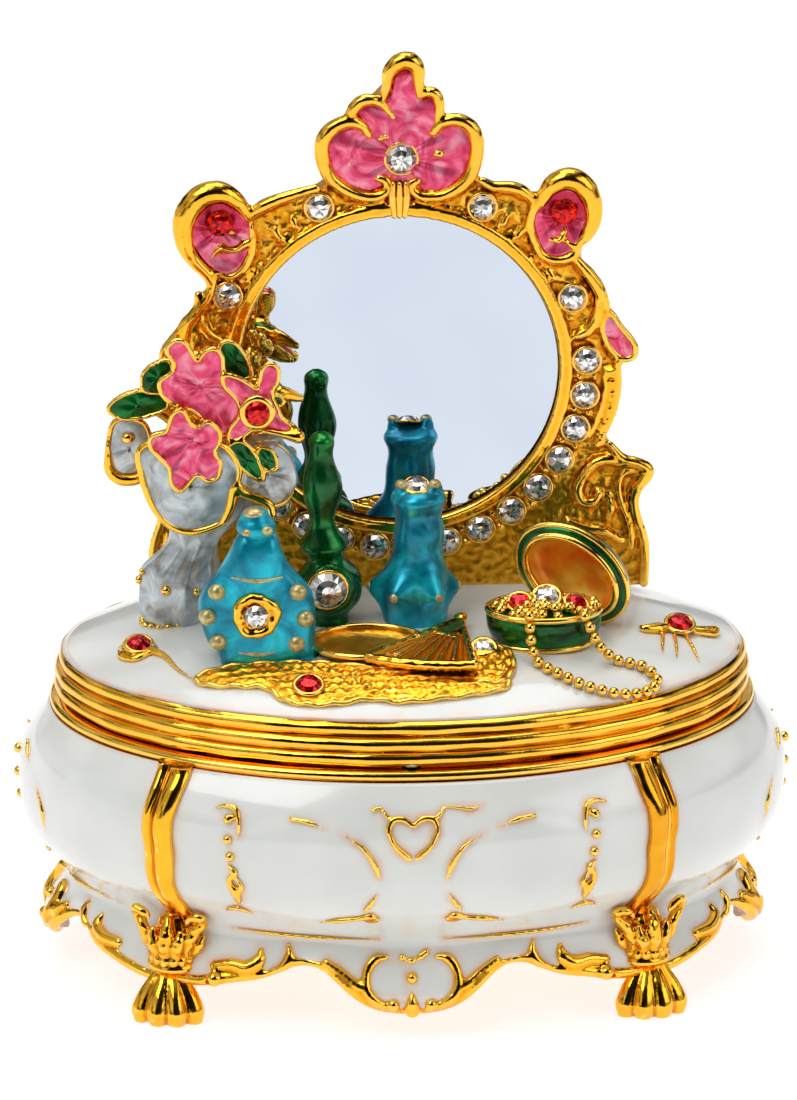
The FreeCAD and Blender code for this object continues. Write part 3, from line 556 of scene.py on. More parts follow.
def cartouche_forms(side, back):
    """Broken arcs round one oval bulge, with the scrolls at its foot."""
    low = WAIST_Z

    def at(points):
        return [(side * x, low + up) for x, up in points]
    forms = [stroke(at([(12.4, 15.2), (10.6, 15.0), (8.7, 14.4)]), (0.3, 0.3, 0.1), back),
             stroke(at([(7.2, 14.0), (5.0, 12.5), (3.8, 10.5), (3.4, 8.9)]),
                    (0.1, 0.3, 0.38, 0.12), back),
             stroke(at([(3.7, 7.3), (4.4, 6.0), (5.4, 4.9)]), (0.16, 0.34, 0.1), back)]
    forms.append(stroke(at([(9.6, 3.2), (7.5, 3.8), (5.6, 4.1), (4.2, 4.5), (3.5, 3.6)]),
                        (0.12, 0.36, 0.3, 0.42, 0.16), back))
    forms.append(stroke(at([(5.4, 4.2), (4.3, 3.7), (3.4, 3.9)]), (0.16, 0.3, 0.2), back))
    forms.append(stroke(at([(19.6, 1.0), (14.0, 0.7), (9.0, 0.65), (3.2, 0.6)]),
                        (0.1, 0.24, 0.26, 0.12), back))
    hook = at([(20.0, 15.5), (18.9, 15.8), (17.9, 15.6), (17.6, 14.3), (17.7, 12.8)])
    forms.append(stroke(hook, (0.14, 0.3, 0.36, 0.28, 0.14), back))
    forms += beads(at([(18.7, 14.6), (18.8, 12.5), (18.6, 10.7)]), 0.55, back)
    forms.append(stroke(at([(18.8, 9.7), (18.1, 9.0), (18.7, 8.0), (18.0, 6.6), (17.6, 5.4)]),
                        (0.22, 0.42, 0.3, 0.55, 0.3), back))
    forms.append(stroke(at([(17.9, 8.4), (17.4, 7.4), (17.7, 6.4)]), (0.2, 0.32, 0.2), back))
    forms.append(stroke(at([(19.4, 3.6), (17.8, 4.4), (16.0, 3.6)]), (0.1, 0.36, 0.12), back))
    return forms


def edge_forms():
    """Gold moulding all along the skirt's scalloped edge."""
    turn = np.arange(720) / 720 * TAU
    z = edge_height(turn)
    line = on_oval(turn, half_width(z) - 0.25, z + 0.15)
    swell = 0.52 + 0.14 * np.sin(panel_place(turn)[0] * 9)
    return tube(line, swell, 10, 1.0, True)


def long_skirt_forms(back):
    """Scrolls on the skirt's long panels: C scrolls round the lobe, curls out to the feet."""
    forms = []
    low = FOOT_Z
    for side in (-1, 1):
        def at(points):
            return [(side * x, low + up) for x, up in points]
        forms.append(stroke(at([(2.5, 6.5), (3.7, 6.3), (4.6, 5.2), (4.7, 3.7), (4.0, 2.6), (2.8, 1.9)]),
                            (0.3, 0.62, 0.6, 0.6, 0.62, 0.45), back))
        forms.append(stroke(at([(4.6, 3.4), (5.6, 3.9), (7.2, 5.0), (8.8, 5.9)]),
                            (0.5, 0.55, 0.5, 0.45), back))
        forms.append(stroke(at([(12.6, 7.3), (12.5, 6.2), (13.1, 5.3), (14.3, 4.7)]),
                            (0.3, 0.66, 0.6, 0.3), back))
        forms.append(stroke(at([(11.3, 5.9), (12.2, 5.7), (13.0, 5.2)]), (0.3, 0.45, 0.3), back))
        forms.append(stroke(at([(15.4, 6.5), (15.6, 5.6), (16.8, 4.8), (18.4, 4.9), (20.2, 4.6)]),
                            (0.4, 0.8, 0.85, 0.72, 0.6), back))
        forms += beads(at([(20.3, 3.4)]), 0.85, back)
        forms += beads(at([(1.95, 2.0)]), 0.72, back)
    forms += beads([(0, low + 4.6)], 0.72, back)
    forms.append(stroke([(0, low + 3.4), (0, low + 2.3), (0, low + 1.4)], (0.2, 0.7, 0.95), back))
    forms += beads([(x, low + up) for x, up in ((-1.0, 6.4), (0.0, 6.1), (0.95, 6.5), (1.5, 6.9))],
                   0.46, back)
    return forms


def side_point(y, z, lift, left):
    """Point on the bowl's short side over a y and a height."""
    width = half_width(z) + lift + 0.2
    depth = width - DROP
    x = width * math.sqrt(max(0.0, 1 - (y / depth) ** 2))
    return (-x, y, z) if left else (x, -y, z)


def side_forms(left):
    """Gold work on a short side: a bead column, broken arcs and the skirt's scrolls."""
    low = WAIST_Z
    forms = []

    def line(points, radius):
        forms.append(tube(curve([side_point(y, z, 0.0, left) for y, z in points], 6), radius, 8))
    for up in (13.0, 10.4, 7.9):
        forms.append(ball(side_point(0, low + up, 0.2, left), 0.62, 12, 8))
    for side in (-1, 1):
        line([(side * 2.2, low + 15.2), (side * 4.0, low + 14.4), (side * 5.4, low + 13.6)], (0.12, 0.3, 0.12))
        line([(side * 8.2, low + 12.0), (side * 9.4, low + 9.6), (side * 9.2, low + 7.4)], (0.12, 0.32, 0.12))
        line([(side * 7.4, low + 4.6), (side * 5.0, low + 3.6), (side * 2.6, low + 3.9)], (0.12, 0.36, 0.16))
        line([(side * 12.0, low + 0.9), (side * 7.0, low + 0.7), (side * 3.0, low + 0.7)], (0.1, 0.26, 0.12))
        foot = FOOT_Z
        line([(side * 2.0, foot + 6.3), (side * 2.9, foot + 6.0), (side * 3.5, foot + 4.8),
              (side * 3.4, foot + 3.2), (side * 2.6, foot + 1.9)], (0.4, 0.85, 0.9, 0.9, 0.6))
        line([(side * 3.4, foot + 3.0), (side * 4.6, foot + 4.0), (side * 5.8, foot + 5.2)], (0.7, 0.75, 0.6))
        line([(side * 9.0, foot + 7.0), (side * 8.9, foot + 5.8), (side * 9.9, foot + 4.8)], (0.3, 0.62, 0.35))
        line([(side * 11.2, foot + 6.4), (side * 11.4, foot + 5.3), (side * 12.8, foot + 4.6),
              (side * 14.4, foot + 4.6)], (0.35, 0.75, 0.75, 0.6))
    forms.append(ball(side_point(0, FOOT_Z + 4.2, 0.1, left), 0.7, 12, 8))
    forms.append(ball(side_point(0, FOOT_Z + 1.9, 0.1, left), 0.75, 12, 8))
    return forms


def make_scrollwork():
    """All raised gold lines of the bowl, melted into one casting."""
    forms = [edge_forms()]
    for back in (False, True):
        forms += heart_forms(back) + long_skirt_forms(back)
        for side in (-1, 1):
            forms += cartouche_forms(side, back)
    for left in (False, True):
        forms += side_forms(left)
    return piece("scrollwork", melted(merged(forms), 0.24, 2), GOLD, "base", ())


scrollwork = make_scrollwork()


def gilded_points(things, step):
    """Every so many of the vertices of gold pieces, in millimetres."""
    return [vertex.co / MM for thing in things for vertex in list(thing.data.vertices)[::step]]


# ------------------------------------------------------------------ ribs and feet

def make_rib(side_x, side_y):
    """Gold band down one corner of the bowl: a broad roll and a narrow one beside it."""
    turn = math.atan2(side_y * math.sin(RIB_TURN), side_x * math.cos(RIB_TURN))
    across_turn = math.atan2(side_y * math.sin(math.radians(60)), side_x * math.cos(math.radians(60)))
    outward = np.array([math.cos(across_turn), math.sin(across_turn), 0])
    across = np.array([side_y * outward[1], -side_y * outward[0], 0]) * side_x
    heights = np.linspace(MOUTH_Z + 0.3, WAIST_Z + 0.6, 44)
    shares = np.linspace(-1, 1, 23)
    rows = []
    for z in heights:
        base = bowl_point(np.array(turn), z)
        wide = 1.45 + 0.6 * (z - WAIST_Z) / (MOUTH_Z - WAIST_Z)
        broad = np.sqrt(np.clip(1 - ((shares + 0.34) / 0.68) ** 2, 0, 1)) * 1.45
        narrow = np.sqrt(np.clip(1 - ((shares - 0.62) / 0.38) ** 2, 0, 1)) * 1.15
        height = np.maximum(np.maximum(broad, narrow), 0.0)
        sway = 0.12 * math.sin(z * 0.9)
        for share, up in zip(shares, height):
            rows.append(base + across * (share * wide + sway) + outward * (up - 0.25))
        rows.append(base - outward * 1.0 + across * wide * 0.7)
        rows.append(base - outward * 1.0 - across * wide * 0.7)
    columns = len(shares) + 2
    form = (np.array(rows), grid_faces(len(heights), columns, False, True)
            + [tuple(range(columns)), tuple(reversed(range(len(rows) - columns, len(rows))))])
    return form


def paw_forms():
    """Paw facing -Y, with four toes, on its own centre."""
    forms = [ball((0, 0.6, 3.9), (1.9, 1.8, 2.2)), ball((0, 0.9, 1.3), (3.0, 1.9, 1.5))]
    for spread, reach in ((-2.6, 1.3), (-0.95, 2.2), (0.95, 2.2), (2.6, 1.3)):
        line = curve([(spread * 0.42, 0.3, 5.4), (spread * 0.52, -reach * 0.3, 4.2),
                      (spread * 0.82, -reach * 0.75, 2.7), (spread, -reach, 1.3),
                      (spread * 1.02, -reach * 0.9, 0.3)], 6)
        forms.append(tube(line, (0.72, 0.85, 1.08, 1.26, 1.02), 12))
    return forms


def acanthus_forms():
    """Leaves round the knee, a bead ring and the collar over the paw."""
    forms = [ball((0, 1.2, 8.4), (2.3, 1.8, 3.2))]
    forms.append(tube(curve([(0, -0.6, 6.9), (0, -1.1, 8.4), (0, -0.9, 9.8), (0, -0.3, 11.0)], 6),
                      (0.6, 0.8, 0.75, 0.45), 12))
    for side in (-1, 1):
        forms.append(tube(curve([(side * 0.9, -0.5, 6.9), (side * 1.3, -1.0, 8.4), (side * 1.6, -0.7, 9.8)], 6),
                          (0.5, 0.7, 0.45), 10))
        forms.append(tube(curve([(side * 1.7, 0.1, 7.0), (side * 2.2, -0.3, 8.6), (side * 2.9, -0.2, 10.0),
                                 (side * 3.7, 0.2, 11.0), (side * 3.6, -0.4, 11.9),
                                 (side * 2.7, -0.5, 11.7), (side * 2.1, -0.5, 11.0)], 6),
                          (0.5, 0.6, 0.62, 0.55, 0.5, 0.45, 0.25), 10))
        forms.append(tube(curve([(side * 2.0, 0.7, 6.9), (side * 2.9, 0.7, 8.0), (side * 3.3, 0.9, 9.2)], 6),
                          (0.5, 0.6, 0.4), 10))
    for k in range(16):
        turn = k / 16 * TAU
        forms.append(ball((2.25 * math.cos(turn), 0.9 + 2.1 * math.sin(turn), 6.75), 0.5, 10, 8))
    ring = np.arange(40) / 40 * TAU
    forms.append(tube(np.stack([2.35 * np.cos(ring), 0.9 + 2.2 * np.sin(ring), 5.85 + 0 * ring], -1),
                      0.46, 10, 1.0, True))
    forms.append(ball((0, 0.9, 6.0), (2.2, 2.0, 1.1)))
    return forms


def make_leg(name, side_x, side_y):
    """One leg: rib, acanthus knee and paw in one casting."""
    turn = math.atan2(side_y * math.sin(RIB_TURN), side_x * math.cos(RIB_TURN))
    root = on_oval(np.array(turn), float(half_width(WAIST_Z)), 0.0)

    def place(heading, out):
        angle = math.radians(heading) * -side_x * side_y
        spin = np.array([[math.cos(angle), -math.sin(angle), 0], [math.sin(angle), math.cos(angle), 0],
                         [0, 0, 1]])
        flip = np.array([1, -side_y, 1])
        middle = root + np.array([side_x * out[0], side_y * out[1], 0])
        return lambda points: (points * flip) @ spin.T + middle
    knee = moved(merged(acanthus_forms()), place(24, (1.9, 1.1)))
    paw = moved(merged(paw_forms()), place(8, (2.0, 0.9)))
    if side_y > 0:
        knee = knee[0], [tuple(reversed(face)) for face in knee[1]]
        paw = paw[0], [tuple(reversed(face)) for face in paw[1]]
    rib = make_rib(side_x, side_y)
    foot = melted(merged([knee, paw]), 0.17, 2)
    foot = roughened(foot, 0.16, 0.8, lambda at, normal: np.clip((at[:, 2] - 6.5) / 2, 0, 1))
    foot[0][:, 2] = np.maximum(foot[0][:, 2], 0.0)
    rib = modified(rib, ("SUBSURF", {"levels": 1}))
    rib = roughened(rib, 0.10, 2.0)
    return piece("leg_" + name, merged([foot, rib]), GOLD, "base", ("leg_" + name,))


legs = [make_leg("%s_%s" % (row, column), side_x, side_y)
        for row, side_y in (("front", -1), ("back", 1)) for column, side_x in (("left", -1), ("right", 1))]
mark_gold_reflection(bowl, gilded_points([scrollwork] + legs, 3), 1.25)


# ------------------------------------------------------------------ rims, magnets and hinge

def oval_band(section, segments=320):
    """Sweep a closed (half width, height) section round the box's oval."""
    turn = np.arange(segments) / segments * TAU
    rings = [on_oval(turn, width, z) for width, z in section]
    return np.concatenate(rings), grid_faces(len(rings), segments, True, True)


rim_low, rim_high = box_mm("base_rim")
RIM_TOP = rim_low[2] + 1.1
RIM_REACH = rim_high[0] - 0.1
base_rim = oval_band([
    (34.2, rim_low[2]), (RIM_REACH - 0.5, rim_low[2]), (RIM_REACH - 0.1, rim_low[2] + 0.15),
    (RIM_REACH, rim_low[2] + 0.5), (RIM_REACH - 0.1, rim_low[2] + 0.9), (RIM_REACH - 0.5, RIM_TOP),
    (35.3, RIM_TOP), (35.1, RIM_TOP + 0.2),
    (35.1, rim_high[2] - 0.2), (34.9, rim_high[2]), (34.4, rim_high[2]), (34.2, rim_high[2] - 0.2)])
piece("base_rim", base_rim, GOLD, "base", ("base_rim",))


def make_lid_rim():
    """Three gilded rolls round the lid, a little uneven as cast metal is."""
    low, high = box_mm("lid_rim")
    section = [(35.45, high[2]), (35.45, low[2])]
    roll = (high[2] - low[2]) / 3
    for index in range(3):
        outer = high[0] - 0.12 - (0.45 if index == 2 else 0.0)
        middle = low[2] + roll * (index + 0.5)
        for angle in np.radians(np.linspace(-82, 82, 9)):
            section.append((outer - 0.72 + 0.72 * math.cos(angle), middle + roll * 0.49 * math.sin(angle)))
    form = roughened(oval_band(section, 480), 0.16, 4.0)
    return piece("lid_rim", form, GOLD, "lid", ("lid_rim",))


make_lid_rim()


def slab(low, high, round_off):
    """Box with rounded edges."""
    corners = np.array([[(low, high)[k >> axis & 1][axis] for axis in range(3)] for k in range(8)], float)
    faces = [(0, 2, 3, 1), (4, 5, 7, 6), (0, 1, 5, 4), (2, 6, 7, 3), (0, 4, 6, 2), (1, 3, 7, 5)]
    return modified((corners, faces), ("BEVEL", {"width": round_off, "segments": 3}))


def barrel(start, end, radius, y, z):
    """Round bar along X with softened ends."""
    profile = [(0, start), (radius - 0.15, start), (radius, start + 0.15), (radius, end - 0.15),
               (radius - 0.15, end), (0, end)]
    points, faces = lathe(profile, 32)
    return np.stack([points[:, 2], points[:, 0] + y, points[:, 1] + z], -1), faces


def make_hinge():
    """Two knuckles on the bowl, one on the lid, and the pin through them."""
    low, high = box_mm("base_hinge_knuckles")
    pin_low, pin_high = box_mm("hinge_pin")
    middle_low, middle_high = box_mm("lid_hinge_knuckle")
    y = (pin_low[1] + pin_high[1]) / 2
    z = (pin_low[2] + pin_high[2]) / 2
    radius = high[1] - y
    inner = middle_high[0] + 0.15
    pair = []
    for start, end in ((low[0], -inner), (inner, high[0])):
        pair.append(barrel(start, end, radius, y, z))
        pair.append(slab((start, low[1], low[2]), (end, y, z - 0.2), 0.15))
    piece("base_hinge", merged(pair), GOLD, "base", ("base_hinge_knuckles",))
    leaf = slab((middle_low[0], middle_low[1], z + 0.1), (middle_high[0], y, middle_high[2]), 0.15)
    piece("lid_hinge", merged([barrel(middle_low[0], middle_high[0], radius, y, z), leaf]),
          GOLD, "lid", ("lid_hinge_knuckle",))
    pin = barrel(pin_low[0] - 0.0, pin_high[0] + 0.0, (pin_high[2] - pin_low[2]) / 2, y, z)
    piece("hinge_pin", pin, GOLD, "base", ("hinge_pin",))


make_hinge()

steel = Surface("magnet_steel", Metallic=1.0)
steel.colour(steel.ramp(steel.noise(0.6), ((0.3, (0.30, 0.30, 0.31)), (0.7, (0.52, 0.52, 0.53)))))
steel.rough(steel.noise(0.4), 0.25, 0.45)
for body_name in ("base", "lid"):
    low, high = box_mm(body_name + "_magnet")
    radius = (high[0] - low[0]) / 2
    disc = lathe([(0, low[2]), (radius - 0.1, low[2]), (radius, low[2] + 0.1), (radius, high[2] - 0.1),
                  (radius - 0.1, high[2]), (0, high[2])], 32, (0, (low[1] + high[1]) / 2, 0))
    piece(body_name + "_magnet_disc", disc, steel.material, body_name, (body_name + "_magnet",))


# ------------------------------------------------------------------ lid dome

dome_low, dome_high = box_mm("lid_shell")
DOME_RISE = dome_high[2] - dome_low[2]
MOUNDS = ((26.0, 2.5, 3.6, 0.55), (-25.0, -10.5, 3.0, 0.25), (-17.5, -16.2, 2.6, 0.2), (22.0, -9.0, 3.0, 0.2))


def dome_height(x, y):
    """Height of the lid's top over a place."""
    share = np.hypot(x / dome_high[0], y / dome_high[1])
    fall = np.clip((share - 0.55) / 0.45, 0, 1)
    height = dome_low[2] + DOME_RISE * (1 - fall ** 2)
    for at_x, at_y, spread, rise in MOUNDS:
        height = height + rise * np.exp(-((x - at_x) ** 2 + (y - at_y) ** 2) / spread ** 2) * (1 - fall ** 2)
    return height


def on_dome(x, y, up=0.0):
    """Point on the lid's top."""
    return float(x), float(y), float(dome_height(x, y)) + up


def make_dome():
    """White enamelled dome, gilded inside."""
    turn = np.arange(240) / 240 * TAU
    rings = []
    for share in np.linspace(0.01, 1, 50):
        x = dome_high[0] * share * np.cos(turn)
        y = dome_high[1] * share * np.sin(turn)
        rings.append(np.stack([x, y, dome_height(x, y)], -1))
    enamelled = len(rings)
    for share in np.linspace(0.95, 0.01, 16):
        x = dome_high[0] * share * np.cos(turn)
        y = dome_high[1] * share * np.sin(turn)
        under = np.maximum(dome_low[2] + 0.02, dome_low[2] + DOME_RISE * (
            1 - max(0.0, (share - 0.55) / 0.45) ** 2) - 1.5)
        rings.append(np.stack([x, y, under + 0 * x], -1))
    columns = len(turn)
    faces = grid_faces(len(rings), columns, False, True)
    paint = [1 if row < enamelled - 1 else 0 for row in range(len(rings) - 1) for column in range(columns)]
    faces.append(tuple(range(columns)))
    faces.append(tuple((len(rings) - 1) * columns + k for k in range(columns)))
    paint += [1, 0]
    dome = piece("lid_dome", (np.concatenate(rings), faces), (GOLD, WHITE), "lid", ("lid_shell",),
                 paint=paint)
    edge = [(dome_high[0] * math.cos(a), dome_high[1] * math.sin(a), dome_low[2]) for a in turn]
    mark_gold_reflection(dome, edge, 2.4)


make_dome()


# ------------------------------------------------------------------ stones

def turned_to(form, facing, centre):
    """Turn a form's Z axis to a direction and put it somewhere."""
    spin = np.array(Vector((0, 0, 1)).rotation_difference(Vector(facing)).to_matrix())
    return form[0] @ spin.T + np.array(centre), form[1]


def gem(centre, radius, facing=(0, -1, 0), sides=12):
    """Faceted stone: a flat back, a girdle and rings of crown facets up to the middle."""
    rings = ((0.90, 0.0, 0.0), (1.0, 0.16, 0.5), (0.70, 0.50, 0.0), (0.36, 0.58, 0.5))
    points = []
    for share, up, shift in rings:
        for k in range(sides):
            turn = (k + shift) / sides * TAU
            points.append((radius * share * math.cos(turn), radius * share * math.sin(turn), radius * up))
    points.append((0, 0, radius * 0.60))
    faces = [tuple(reversed(range(sides)))]
    for row in range(len(rings) - 1):
        lean = 1 if rings[row + 1][2] > rings[row][2] else 0
        for k in range(sides):
            a, b = row * sides + k, row * sides + (k + 1) % sides
            c, d = a + sides, b + sides
            if lean:
                faces += [(a, b, c), (b, d, c)]
            else:
                faces += [(a, b, d), (a, d, c)]
    last = (len(rings) - 1) * sides
    faces += [(last + k, last + (k + 1) % sides, len(points) - 1) for k in range(sides)]
    return turned_to((np.array(points), faces), facing, centre)


def stone_surface(name, stops, metallic, coat):
    """Foil-backed glass: each facet takes its own painted shade, from dark to bright, standing in for the light and
    dark reflections of cut facets.
    """
    glass = Surface(name, Metallic=metallic, Roughness=0.04, Coat_Weight=coat, Coat_Roughness=0.02)
    shade = glass.node("ShaderNodeAttribute", attribute_name="facet").outputs["Fac"]
    glass.colour(glass.ramp(shade, stops))
    return glass.material


# Facet shades run from painted dark reflection to painted glint.
CRYSTAL = stone_surface("crystal", ((0.0, (0.10, 0.09, 0.09)), (0.3, (0.42, 0.38, 0.36)),
                                    (0.55, (0.80, 0.77, 0.74)), (0.8, (1.0, 1.0, 1.0))), 0.75, 1.0)
RUBY = stone_surface("ruby", ((0.0, (0.12, 0.0, 0.002)), (0.4, (0.42, 0.0, 0.006)),
                              (0.7, (0.85, 0.0, 0.004)), (0.95, (1.0, 0.015, 0.01))), 0.6, 0.1)


def stones(name, forms, material, nodes):
    """Piece of one or more gems, with a random painted reflection shade for each facet."""
    thing = piece(name, merged(forms), material, "lid", nodes, smooth=False)
    shades = random.Random(name)
    layer = thing.data.attributes.new("facet", "FLOAT", "FACE")
    layer.data.foreach_set("value", [shades.random() for face in thing.data.polygons])
    return thing


def cup(centre, radius, facing=(0, -1, 0), thickness=0.13):
    """Gold ring that holds a stone."""
    turn = np.arange(28) / 28 * TAU
    reach = radius * 1.04
    ring = tube(np.stack([reach * np.cos(turn), reach * np.sin(turn), 0.1 + 0 * turn], -1),
                thickness, 8, 1.4, True)
    return turned_to(ring, facing, centre)


# ------------------------------------------------------------------ mirror frame

frame_low, frame_high = box_mm("mirror_frame")
glass_low, glass_high = box_mm("mirror_glass")
MIRROR_Z = (glass_low[2] + glass_high[2]) / 2
MIRROR_R = glass_high[0]
FACE_Y = frame_low[1] + 0.7
BACK_Y = frame_high[1]

LOWER_EDGE = ((26.0, 36.8), (25.9, 40.6), (24.9, 44.6), (24.6, 46.6), (25.0, 48.4), (25.8, 49.9),
              (23.4, 50.9), (22.0, 53.4), (22.8, 56.7), (23.1, 60.0), (22.8, 62.2), (22.2, 65.6))
RIGHT_EDGE = LOWER_EDGE + ((21.4, 69.0), (19.2, 73.0), (19.4, 78.0), (17.2, 81.4), (14.6, 80.0), (11.6, 80.8),
                           (8.0, 81.6), (7.9, 84.0), (7.6, 87.2), (5.6, 88.2), (3.6, 89.6), (3.4, 91.0),
                           (1.9, 92.2), (1.5, 94.2), (0.4, 94.9))
LEFT_EDGE = ((-0.8, 94.0), (-1.4, 92.2), (-3.0, 90.6), (-4.6, 89.6), (-5.4, 88.0), (-7.4, 86.8),
             (-7.7, 84.4), (-7.2, 82.2), (-10.2, 80.2), (-12.6, 79.6), (-15.0, 78.6), (-18.3, 80.8),
             (-21.9, 77.6), (-21.0, 74.0), (-19.2, 71.4), (-20.0, 69.4), (-21.8, 67.0))


def reach_of(outline, angle):
    """Distance from the mirror's centre to a closed outline in one direction."""
    ahead = np.array([math.cos(angle), math.sin(angle)])
    start = outline - np.array([0, MIRROR_Z])
    edge = np.roll(outline, -1, 0) - outline
    turn = ahead[0] * edge[:, 1] - ahead[1] * edge[:, 0]
    turn[np.abs(turn) < 1e-9] = 1e-9
    along = (start[:, 0] * edge[:, 1] - start[:, 1] * edge[:, 0]) / turn
    share = (start[:, 0] * ahead[1] - start[:, 1] * ahead[0]) / turn
    return along[(share >= 0) & (share <= 1)].max()


def frame_plate():
    """Flat body of the frame, from the glass out to the outline."""
    mirrored = [(-x, z) for x, z in reversed(LOWER_EDGE)]
    outline = np.array(RIGHT_EDGE + LEFT_EDGE + tuple(mirrored), float)
    turn = np.arange(420) / 420 * TAU
    outer = np.array([reach_of(outline, angle) for angle in turn]) - 0.25
    inner = MIRROR_R + 0.1
    rings = []
    for y, shares in ((FACE_Y + 0.35, np.linspace(0, 1, 16)), (BACK_Y, np.linspace(1, 0, 16))):
        for share in shares:
            radius = inner + (outer - inner) * share
            rings.append(np.stack([radius * np.cos(turn), y + 0 * turn, MIRROR_Z + radius * np.sin(turn)], -1))
    return np.concatenate(rings), grid_faces(len(rings), len(turn), True, True)


def bar(points, radius, y=0.0, per=6, closed=False):
    """Bar on the face of the frame through (x, height) points."""
    line = curve(points, per, closed)
    return tube(np.stack([line[:, 0], FACE_Y + y + 0 * line[:, 0], line[:, 1]], -1), radius, 10, 1.0, closed)


def flipped(points):
    """Mirror (x, height) points about the middle."""
    return [(-x, z) for x, z in points]


CREST_PINK = ((-3.1, 86.6), (-3.9, 87.6), (-5.2, 87.9), (-6.6, 87.4), (-7.5, 86.3), (-7.5, 84.4), (-6.7, 82.8),
              (-5.2, 81.6), (-3.4, 80.9), (-1.9, 81.3), (0.0, 81.9), (1.9, 81.3), (3.2, 80.8), (4.9, 81.0),
              (6.4, 82.2), (7.3, 83.8), (7.6, 86.2), (6.9, 87.6), (5.8, 88.1), (4.6, 87.8), (3.9, 88.6),
              (3.9, 90.0), (3.4, 91.0), (2.2, 91.0), (1.7, 93.2), (0.8, 94.0), (-0.4, 93.2), (-0.9, 91.2),
              (-2.6, 90.4), (-4.3, 89.8), (-4.0, 89.0))


def crest_bars():
    """Rolled edge of the crest: five lobes and small curls."""
    forms = [
        bar([(-3.1, 86.9), (-3.8, 88.0), (-5.2, 88.5), (-6.8, 87.9), (-7.9, 86.5), (-7.9, 84.4), (-7.1, 82.5),
             (-5.4, 81.1), (-3.4, 80.4), (-1.8, 80.6), (-1.1, 81.4), (-1.5, 82.2), (-2.2, 82.4)],
            (0.35, 0.72, 0.85, 0.82, 0.75, 0.62, 0.55, 0.42)),
        bar([(-0.7, 88.9), (-1.5, 90.1), (-2.7, 90.8), (-4.0, 90.6), (-4.9, 89.6), (-5.1, 88.6)],
            (0.3, 0.5, 0.72, 0.7, 0.5)),
        bar([(-1.6, 91.2), (-1.3, 92.4), (-1.1, 93.7), (0.0, 94.8), (1.1, 94.9), (1.9, 94.0), (2.0, 92.5),
             (2.1, 91.4)], (0.4, 0.6, 0.95, 0.98, 0.7, 0.4)),
        bar([(2.1, 91.2), (2.9, 91.6), (3.8, 91.3), (4.2, 90.0), (4.0, 88.9)], (0.4, 0.62, 0.6, 0.45)),
        bar([(3.4, 87.1), (4.3, 88.2), (5.8, 88.6), (7.3, 87.9), (8.0, 86.3), (7.8, 83.8), (6.8, 81.9),
             (4.9, 80.6), (2.8, 80.3), (1.5, 80.9), (1.2, 81.8), (1.9, 82.1)],
            (0.35, 0.72, 0.82, 0.8, 0.75, 0.62, 0.5, 0.42))]
    forms.append(ball((4.1, FACE_Y - 0.1, 85.0), (0.7, 0.5, 0.5)))
    forms.append(bar([(-2.0, 86.6), (-1.3, 86.9), (-0.8, 86.8)], (0.2, 0.4, 0.15)))
    forms.append(bar([(-6.0, 85.4), (-5.2, 84.0), (-4.8, 82.5)], (0.1, 0.25, 0.1)))
    return forms


def rosette_bars():
    """Rolled edges of the two rosettes and the scrolls that join them to the crest."""
    return [
        bar([(-15.6, 78.3), (-16.6, 79.9), (-18.3, 81.0), (-20.2, 80.8), (-21.7, 79.4), (-22.4, 77.5),
             (-22.2, 75.3), (-21.3, 73.7), (-20.2, 72.5), (-19.5, 71.4)],
            (0.45, 0.95, 1.3, 1.35, 1.3, 1.05, 0.8, 0.7, 0.6)),
        bar([(-15.4, 77.6), (-15.2, 76.0), (-15.4, 74.3), (-16.3, 72.7), (-17.7, 71.9), (-19.1, 72.6)],
            (0.3, 0.42, 0.45, 0.45, 0.4, 0.3)),
        bar([(-15.9, 75.6), (-17.0, 74.8), (-18.6, 75.0), (-19.5, 74.0)], (0.4, 0.34, 0.26, 0.12), -0.1),
        bar([(-15.4, 78.6), (-14.2, 79.5), (-12.6, 80.2), (-10.4, 80.9), (-8.6, 81.4)],
            (0.5, 0.75, 0.7, 0.6, 0.5)),
        bar([(14.6, 79.5), (15.6, 81.2), (17.2, 82.1), (18.8, 81.6), (19.9, 79.9), (20.2, 77.9), (19.6, 76.1),
             (18.7, 75.1)], (0.6, 1.1, 1.3, 1.25, 1.0, 0.75, 0.45)),
        bar([(14.0, 79.2), (13.6, 77.3), (14.1, 75.4), (14.8, 74.0), (16.2, 73.3), (17.8, 73.6), (18.5, 74.5),
             (17.6, 75.2)], (0.5, 0.45, 0.5, 0.5, 0.5, 0.55, 0.5, 0.35)),
        bar([(15.7, 75.7), (16.5, 75.4), (17.3, 76.3)], (0.12, 0.3, 0.12), -0.1),
        bar([(14.0, 79.8), (12.7, 80.9), (11.4, 81.3), (9.8, 81.4), (8.6, 82.0)], (0.5, 0.7, 0.7, 0.6, 0.5)),
        bar([(18.2, 73.6), (19.6, 72.0), (20.8, 70.2), (21.5, 68.4)], (0.45, 0.7, 0.75, 0.6)),
        bar([(-19.6, 72.2), (-19.6, 70.6), (-20.6, 68.8), (-21.8, 67.0), (-22.2, 65.0), (-21.6, 62.8)],
            (0.5, 0.6, 0.75, 0.8, 0.7, 0.5))]


LEAF_TIP = ((21.5, 67.4), (22.2, 67.4), (23.1, 66.0), (24.3, 64.5), (24.8, 63.4), (24.4, 62.5), (23.2, 62.5),
            (22.0, 63.8), (21.3, 65.6))


